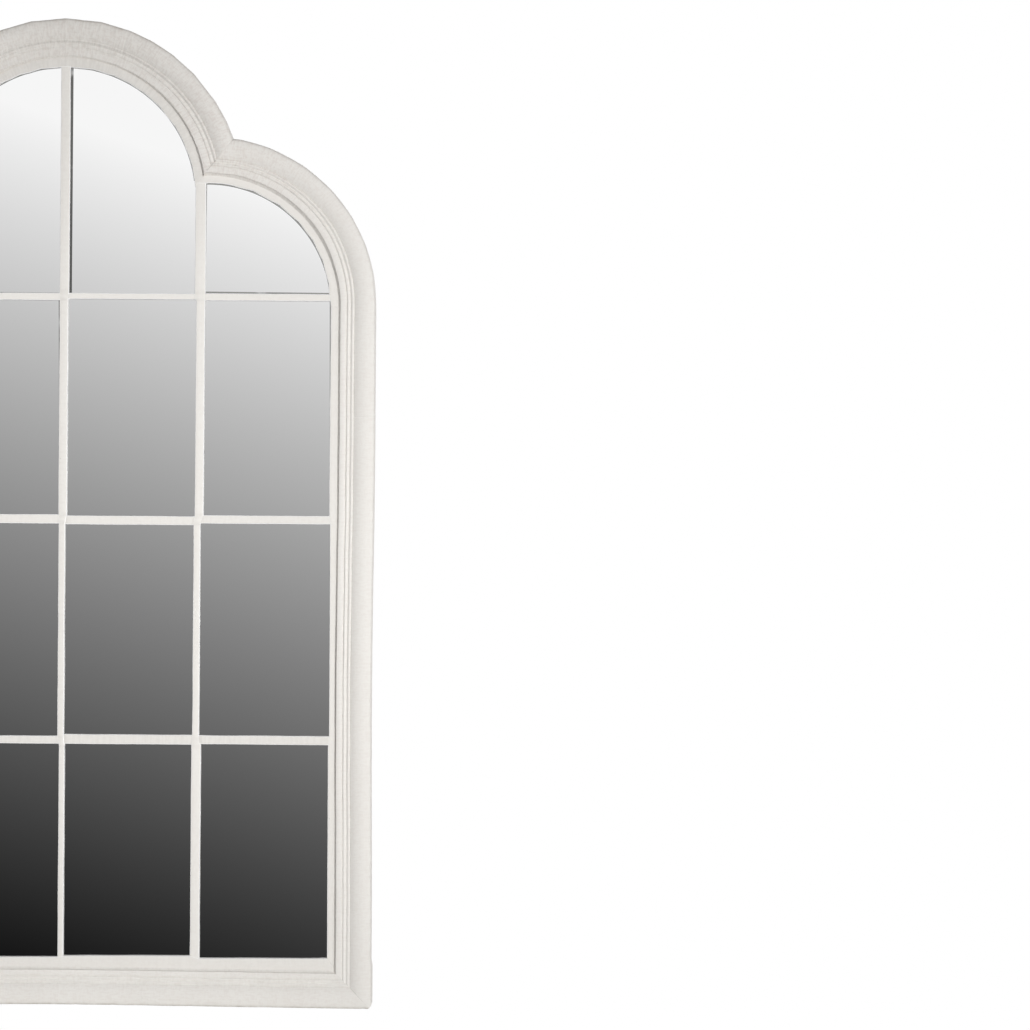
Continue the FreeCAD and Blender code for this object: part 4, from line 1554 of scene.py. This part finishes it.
def cross_headed_screw(rim_radius, rim_height, dome, steps):
    """Mesh of a screw along Z, with a cross recess in its head and its point below."""
    bm = bmesh.new()
    bmesh.ops.create_grid(bm, x_segments=head_cells, y_segments=head_cells, size=1)
    for v in bm.verts:
        if max(abs(v.co.x), abs(v.co.y)) > rim_share:
            v.co = v.co.normalized() * rim_radius
        else:
            v.co.x = recess_shares[round(v.co.x * head_cells)] * rim_radius
            v.co.y = recess_shares[round(v.co.y * head_cells)] * rim_radius
        v.co.z = rim_height + dome * (1 - v.co.xy.length_squared / rim_radius ** 2)
    rim = [edge for edge in bm.edges if edge.is_boundary]
    arm = recess_shares[3] * rim_radius
    slot = recess_shares[1] * rim_radius
    cross = []
    for face in bm.faces:
        off = sorted(abs(part) for part in face.calc_center_median().xy)
        if off[0] < slot and off[1] < arm:
            cross.append(face)
    sunk = bmesh.ops.extrude_face_region(bm, geom=cross)["geom"]
    bmesh.ops.delete(bm, geom=cross, context="FACES_ONLY")
    bmesh.ops.scale(bm, vec=(recess_taper_share, recess_taper_share, 1), verts=verts_of(sunk))
    bmesh.ops.translate(bm, vec=(0, 0, -recess_depth), verts=verts_of(sunk))
    for radius, height in steps:
        grown = bmesh.ops.extrude_edge_only(bm, edges=rim)["geom"]
        rim = [part for part in grown if isinstance(part, bmesh.types.BMEdge)]
        for v in verts_of(grown):
            v.co.xy = v.co.xy.normalized() * radius
            v.co.z = height
    bmesh.ops.holes_fill(bm, edges=rim, sides=0)
    bmesh.ops.recalc_face_normals(bm, faces=bm.faces)
    mesh = bpy.data.meshes.new("screw")
    bm.to_mesh(mesh)
    bm.free()
    return mesh


def loose_boxes(node):
    """Lowest and highest corner of each separate solid of a CAD node."""
    bm = merged_copy(node)
    boxes = []
    seen = set()
    for v in bm.verts:
        if v in seen:
            continue
        reach = [v]
        seen.add(v)
        for here in reach:
            for edge in here.link_edges:
                there = edge.other_vert(here)
                if there not in seen:
                    seen.add(there)
                    reach.append(there)
        low = Vector(min(p.co[axis] for p in reach) for axis in range(3))
        high = Vector(max(p.co[axis] for p in reach) for axis in range(3))
        boxes.append((low, high))
    bm.free()
    return boxes


def set_screws(node, screw, head_depth):
    """Sets a screw at each solid of a node, its head to the back, each turned differently."""
    bm = bmesh.new()
    for count, (low, high) in enumerate(loose_boxes(node)):
        bm.from_mesh(screw)
        middle = (low + high) / 2
        place = Matrix.Translation((middle.x, high.y - head_depth, middle.z))
        turn = Matrix.Rotation(-math.pi / 2, 4, "X") @ Matrix.Rotation(count * golden_turn, 4, "Z")
        bm.verts.ensure_lookup_table()
        new = bm.verts[len(bm.verts) - len(screw.vertices):]
        bmesh.ops.transform(bm, matrix=place @ turn, verts=new)
    bpy.data.meshes.remove(screw)
    finish_piece(bm, node, "_cross_headed", (zinc_plate(),), crease=screw_crease_degrees)


class MIRROR_OT_board_screws(bpy.types.Operator):
    """Make the countersunk screws of the back board"""

    bl_idname = "window_mirror.board_screws"
    bl_label = "Back Board Screws"

    def execute(self, context):
        steps = (
            (screw_shank, -board_screw_cone),
            (screw_shank, -board_screw_length + screw_tip),
            (screw_point, -board_screw_length),
        )
        screw = cross_headed_screw(board_screw_head, board_screw_sink, 0, steps)
        set_screws("back_board_screws", screw, 0)
        return {"FINISHED"}


class MIRROR_OT_hanger_screws(bpy.types.Operator):
    """Make the round-headed screws of the strap hangers"""

    bl_idname = "window_mirror.hanger_screws"
    bl_label = "Hanger Screws"

    def execute(self, context):
        steps = (
            (hanger_screw_head, 0),
            (screw_shank, 0),
            (screw_shank, -hanger_screw_length + screw_tip),
            (screw_point, -hanger_screw_length),
        )
        screw = cross_headed_screw(hanger_screw_head, hanger_screw_rim, hanger_screw_dome, steps)
        set_screws("hanger_screws", screw, hanger_screw_rim + hanger_screw_dome)
        return {"FINISHED"}


# Strap hangers, each a steel strip rolled into a loop round the pin of its ring
strap_thickness = 0.0012
strap_loop = 0.0035
strap_end_degrees = 235
strap_loop_steps = 28
strap_bore_steps = 24
strap_arris = 0.0002
strap_sharp_degrees = 50
strap_foot = 0.0076
strap_foot_segments = 10


class MIRROR_OT_hanger_straps(bpy.types.Operator):
    """Make the two rolled strap hangers"""

    bl_idname = "window_mirror.hanger_straps"
    bl_label = "Hanger Straps"

    def execute(self, context):
        bore = strap_loop - strap_thickness
        middle = Vector((context.scene.mirror_outline.frame_back + strap_loop, 0))
        end = math.radians(strap_end_degrees)
        way = Vector((math.cos(end), math.sin(end)))
        for node in ("left_hanger_strap", "right_hanger_strap"):
            low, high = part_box(node)
            bm = plate(low.x, high.x, [
                ((low.y, low.z),),
                ((low.y, 0),),
                (middle + Vector((strap_loop, 0)), middle + way * strap_loop, strap_loop_steps),
                (middle + way * bore,),
                (middle + Vector((bore, 0)), (low.y + strap_thickness, 0), strap_bore_steps),
                ((low.y + strap_thickness, low.z),),
            ])
            bmesh.ops.recalc_face_normals(bm, faces=bm.faces)
            feet = []
            for edge in bm.edges:
                at_foot = all(v.co.z < low.z + strap_arris for v in edge.verts)
                if at_foot and abs(edge.verts[0].co.x - edge.verts[1].co.x) < strap_arris:
                    feet.append(edge)
            soften_edges(bm, feet, strap_foot, strap_foot_segments)
            soften_edges(bm, sharp_edges(bm, strap_sharp_degrees), strap_arris, arris_segments)
            finish_piece(bm, node, "_rolled", (zinc_plate(),))
        return {"FINISHED"}


# D rings of round wire
wire_radius = 0.002
wire_sides = 20
ring_half = 0.014
ring_corner = 0.004
ring_leg = 0.008
shank_steps = 6
ring_corner_steps = 8
leg_steps = 3
bow_steps = 36


class MIRROR_OT_hanger_rings(bpy.types.Operator):
    """Make the two swinging D rings"""

    bl_idname = "window_mirror.hanger_rings"
    bl_label = "Hanger Rings"

    def execute(self, context):
        shank = ring_half - ring_corner
        leg = ring_leg - ring_corner
        turn = math.pi / 2
        for node, body in (("left_hanger_ring", "left_ring"), ("right_hanger_ring", "right_ring")):
            low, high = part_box(node)
            pin = Vector(((low.x + high.x) / 2, (low.y + high.y) / 2, high.z - wire_radius))
            bm = bmesh.new()
            ring = bmesh.ops.create_circle(
                bm, segments=wire_sides, radius=wire_radius, cap_ends=False,
                matrix=Matrix.Translation(pin) @ Matrix.Rotation(turn, 4, "Y")
            )["verts"]
            end = ring + bm.edges[:]
            runs = (
                ((shank, 0, 0), None, 0, shank_steps),
                (None, pin + Vector((shank, 0, -ring_corner)), turn, ring_corner_steps),
                ((0, 0, -leg), None, 0, leg_steps),
                (None, pin + Vector((0, 0, -ring_leg)), math.pi, bow_steps),
                ((0, 0, leg), None, 0, leg_steps),
                (None, pin + Vector((-shank, 0, -ring_corner)), turn, ring_corner_steps),
                ((shank, 0, 0), None, 0, shank_steps),
            )
            for way, centre, angle, steps in runs:
                stride = Vector(way) / steps if way else Vector()
                spun = bmesh.ops.spin(
                    bm, geom=end, cent=centre or pin, axis=(0, 1, 0), dvec=stride, angle=angle, steps=steps
                )
                end = spun["geom_last"]
            finish_piece(bm, node, "_wire", (zinc_plate(),), body)
        return {"FINISHED"}


# Bumpers, moulded rubber buttons with a dished face
bumper_base = 0.009
bumper_face = 0.007
bumper_edge = 0.0015
bumper_foot = 0.0006
bumper_dish = 0.0006
bumper_sides = 48
bumper_merge = MERGE_DISTANCE * 10


class MIRROR_OT_bumpers(bpy.types.Operator):
    """Make the two rubber bumpers at the foot"""

    bl_idname = "window_mirror.bumpers"
    bl_label = "Bumpers"

    def execute(self, context):
        rubber = moulded_rubber()
        lean = bumper_edge * (1 - math.sqrt(0.5))
        for node in ("left_bumper", "right_bumper"):
            low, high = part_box(node)
            middle = (low + high) / 2
            tall = high.y - low.y
            turned = (
                (bumper_base - bumper_foot, 0),
                (bumper_base, bumper_foot),
                (bumper_face, tall - bumper_edge),
                (bumper_face - lean, tall - lean),
                (bumper_face - bumper_edge, tall),
                (bumper_face - bumper_edge * 2, tall),
                (bumper_face / 2, tall - bumper_dish),
                (0, tall - bumper_dish),
            )
            bm = bmesh.new()
            last = bm.verts.new((middle.x, low.y, middle.z))
            for radius, height in turned:
                last = bmesh.ops.extrude_vert_indiv(bm, verts=[last])["verts"][0]
                last.co = (middle.x + radius, low.y + height, middle.z)
            bmesh.ops.spin(
                bm, geom=bm.verts[:] + bm.edges[:], cent=middle, axis=(0, 1, 0), dvec=(0, 0, 0),
                angle=math.tau, steps=bumper_sides, use_merge=True
            )
            bmesh.ops.remove_doubles(bm, verts=bm.verts, dist=bumper_merge)
            finish_piece(bm, node, "_moulded", (rubber,))
        return {"FINISHED"}


class MIRROR_OT_dowels(bpy.types.Operator):
    """Give the dowels inside the joints their beech"""

    bl_idname = "window_mirror.dowels"
    bl_label = "Dowels"

    def execute(self, context):
        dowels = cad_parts["frame_dowels"]
        beech = turned_beech()
        if not dowels.material_slots:
            dowels.data.materials.append(beech)
        for slot in dowels.material_slots:
            slot.material = beech
        return {"FINISHED"}


# Stage.  The mirror looks into a dim room: a half round of cloth stands round it, pale above and
# dark below, and only reflections see it.
white = (1, 1, 1, 1)
sensor_millimetres = 36
cloth_radius = 3.2
cloth_height = 4.5
cloth_dark = -2.09
cloth_pale = 0.69
cloth_tilt = 0.32
cloth_middle = 0.05
cloth_steps = 96
cloth_power = 2.2
cloth_foot_start = -2.4
cloth_foot_share = 0.62
floor_height = -1.25
floor_front = -3.2
floor_back = 0.22
floor_half = 2.6
floor_fade = 0.9
floor_cells = 8
floor_roughness = 0.9


def set_camera(scene, stage):
    """Stands the camera in front of the wall, level but for a slight roll."""
    data = bpy.data.cameras.new("camera")
    data.sensor_width = sensor_millimetres
    data.lens = data.sensor_width * abs(stage.camera_depth) / stage.picture_width
    camera = bpy.data.objects.new("camera", data)
    camera.location = (stage.camera_across, stage.camera_depth, stage.camera_height)
    camera.rotation_euler = (math.pi / 2, stage.camera_roll, 0)
    scene.collection.objects.link(camera)
    scene.camera = camera


def hang_lamps(scene, stage):
    """Hangs a soft box in front and two lamps behind, out of sight of the camera and the panes."""
    right = Vector(stage.back_lamp_place)
    left = Vector((-right.x, right.y, right.z))
    lamps = (
        ("soft_box", Vector(stage.lamp_place), stage.lamp_power, stage.lamp_spread),
        ("right_back_lamp", right, stage.back_lamp_power, math.pi),
        ("left_back_lamp", left, stage.back_lamp_power, math.pi),
    )
    for name, place, power, wide in lamps:
        data = bpy.data.lights.new(name, "AREA")
        data.size = stage.lamp_size
        data.energy = power
        data.spread = wide
        lamp = bpy.data.objects.new(name, data)
        lamp.location = place
        lamp.rotation_euler = (Vector(stage.lamp_aim) - place).to_track_quat("-Z", "Y").to_euler()
        lamp.visible_camera = False
        lamp.visible_glossy = False
        scene.collection.objects.link(lamp)


def light_world(scene, stage):
    """White to the eye and in reflections, and a soft light on everything else."""
    world = bpy.data.worlds.new("studio")
    world.use_nodes = True
    scene.world = world
    tree = world.node_tree
    tree.nodes.clear()
    node = partial(add_node, tree)
    ray = node("LightPath").node.outputs
    seen = node("Math", (ray["Is Camera Ray"], ray["Is Glossy Ray"]), operation="ADD")
    seen = node("Math", (seen, ray["Is Transmission Ray"]), operation="ADD", use_clamp=True)
    height = node("SeparateXYZ", (node("TexCoord", out="Generated"),), "Z")
    soft = node("MapRange", (height, -1, 1, stage.light_below, stage.light_above))
    power = node("Mix", {0: seen, 2: soft, 3: 1.0}, data_type="FLOAT")
    sky = node("Background", {"Color": white, "Strength": power})
    feed(tree.nodes.new("ShaderNodeOutputWorld"), {"Surface": sky})


# Pale painted floor, matt, keeping the mirror's shadow and fading to white at its edges
def lay_floor():
    """Lays the floor below the mirror."""
    bm = bmesh.new()
    bmesh.ops.create_grid(bm, x_segments=floor_cells, y_segments=floor_cells, size=1)
    middle = (floor_front + floor_back) / 2
    bmesh.ops.scale(bm, vec=(floor_half, (floor_back - floor_front) / 2, 1), verts=bm.verts)
    bmesh.ops.translate(bm, vec=(0, middle, floor_height), verts=bm.verts)
    made, node, shader, colours = new_finish("pale_painted_floor")
    at = node("SeparateXYZ", (node("TexCoord", out="Object"),)).node.outputs
    aside = node("Math", (at["X"],), operation="ABSOLUTE")
    sides = node("MapRange", (aside, floor_half - floor_fade, floor_half))
    near = node("MapRange", (at["Y"], floor_front + floor_fade, floor_front))
    fade = node("Math", (sides, near), operation="MAXIMUM")
    feed(shader, {"Base Color": (*colours.floor, 1), "Roughness": floor_roughness})
    glow = node("Emission", {"Color": white, "Strength": 1})
    mixed = node("MixShader", (fade, shader.outputs["BSDF"], glow))
    feed(made.node_tree.nodes["Material Output"], {"Surface": mixed})
    floor = new_object(bm, "floor", (made,))
    floor.visible_glossy = False


# Dim cloth that glows with painted light: its tone falls off downwards as if lit from above, with some light
# back at its foot
def hang_cloth():
    """Hangs the half round of cloth that the panes reflect."""
    bm = bmesh.new()
    middle = bm.verts.new((cloth_middle, 0, -cloth_height))
    low = bm.verts.new((cloth_radius, 0, -cloth_height))
    high = bm.verts.new((cloth_radius, 0, cloth_height))
    bm.edges.new((middle, low))
    bm.edges.new((low, high))
    bmesh.ops.spin(
        bm, geom=bm.verts[:] + bm.edges[:], cent=(0, 0, 0), axis=(0, 0, 1), dvec=(0, 0, 0), angle=-math.pi,
        steps=cloth_steps
    )
    made, node = new_finish("room_cloth_tones")[:2]
    place = node("TexCoord", out="Object")
    slope = node("VectorMath", (place, (cloth_tilt, 0, 1)), "Value", operation="DOT_PRODUCT")
    tone = node("MapRange", (slope, cloth_dark, cloth_pale))
    height = node("SeparateXYZ", (place,), "Z")
    foot = node("MapRange", (height, cloth_foot_start, -cloth_height, 0, cloth_foot_share))
    either = node("Math", (tone, foot), operation="MAXIMUM")
    power = node("Math", (either, cloth_power), operation="POWER")
    glow = node("Emission", {"Color": white, "Strength": power})
    feed(made.node_tree.nodes["Material Output"], {"Surface": glow})
    cloth = new_object(bm, "room_cloth", (made,))
    for ray in ("camera", "diffuse", "shadow", "transmission"):
        setattr(cloth, "visible_" + ray, False)


class MIRROR_OT_stage(bpy.types.Operator):
    """Make the camera, the soft light, the floor and the cloth that the panes reflect"""

    bl_idname = "window_mirror.stage"
    bl_label = "Stage"

    def execute(self, context):
        scene = context.scene
        scene.view_settings.view_transform = "Standard"
        set_camera(scene, scene.mirror_stage)
        hang_lamps(scene, scene.mirror_stage)
        light_world(scene, scene.mirror_stage)
        lay_floor()
        hang_cloth()
        return {"FINISHED"}


class MIRROR_PT_panel(bpy.types.Panel):
    """The mirror's sizes, colours and makers"""

    bl_idname = "MIRROR_PT_panel"
    bl_label = "Trefoil Window Mirror"
    bl_space_type = "VIEW_3D"
    bl_region_type = "UI"
    bl_category = "Mirror"

    def draw(self, context):
        for operator in operators:
            self.layout.operator(operator.bl_idname)
        for group in property_groups:
            box = self.layout.box()
            for name in property_groups[group].__annotations__:
                box.prop(getattr(context.scene, group), name)


property_groups = {
    "mirror_outline": MirrorOutline,
    "mirror_section": MirrorSection,
    "mirror_colours": MirrorColours,
    "mirror_stage": MirrorStage,
}
operators = (
    MIRROR_OT_stage,
    MIRROR_OT_frame_members,
    MIRROR_OT_slips,
    MIRROR_OT_glazing_bars,
    MIRROR_OT_panes,
    MIRROR_OT_back_board,
    MIRROR_OT_board_screws,
    MIRROR_OT_hanger_straps,
    MIRROR_OT_hanger_rings,
    MIRROR_OT_hanger_screws,
    MIRROR_OT_bumpers,
    MIRROR_OT_dowels,
)


def register():
    """Registers the sizes, the operators and the panel."""
    for name, group in property_groups.items():
        bpy.utils.register_class(group)
        setattr(bpy.types.Scene, name, PointerProperty(type=group))
    for operator in operators:
        bpy.utils.register_class(operator)
    bpy.utils.register_class(MIRROR_PT_panel)


def unregister():
    """Takes away what register() added."""
    bpy.utils.unregister_class(MIRROR_PT_panel)
    for operator in reversed(operators):
        bpy.utils.unregister_class(operator)
    for name, group in property_groups.items():
        delattr(bpy.types.Scene, name)
        bpy.utils.unregister_class(group)


def main():
    """Makes every piece in order."""
    register()
    bpy.ops.window_mirror.stage()
    bpy.ops.window_mirror.frame_members()
    bpy.ops.window_mirror.slips()
    bpy.ops.window_mirror.glazing_bars()
    bpy.ops.window_mirror.panes()
    bpy.ops.window_mirror.back_board()
    bpy.ops.window_mirror.board_screws()
    bpy.ops.window_mirror.hanger_straps()
    bpy.ops.window_mirror.hanger_rings()
    bpy.ops.window_mirror.hanger_screws()
    bpy.ops.window_mirror.bumpers()
    bpy.ops.window_mirror.dowels()


if __name__ == "__main__":
    main()
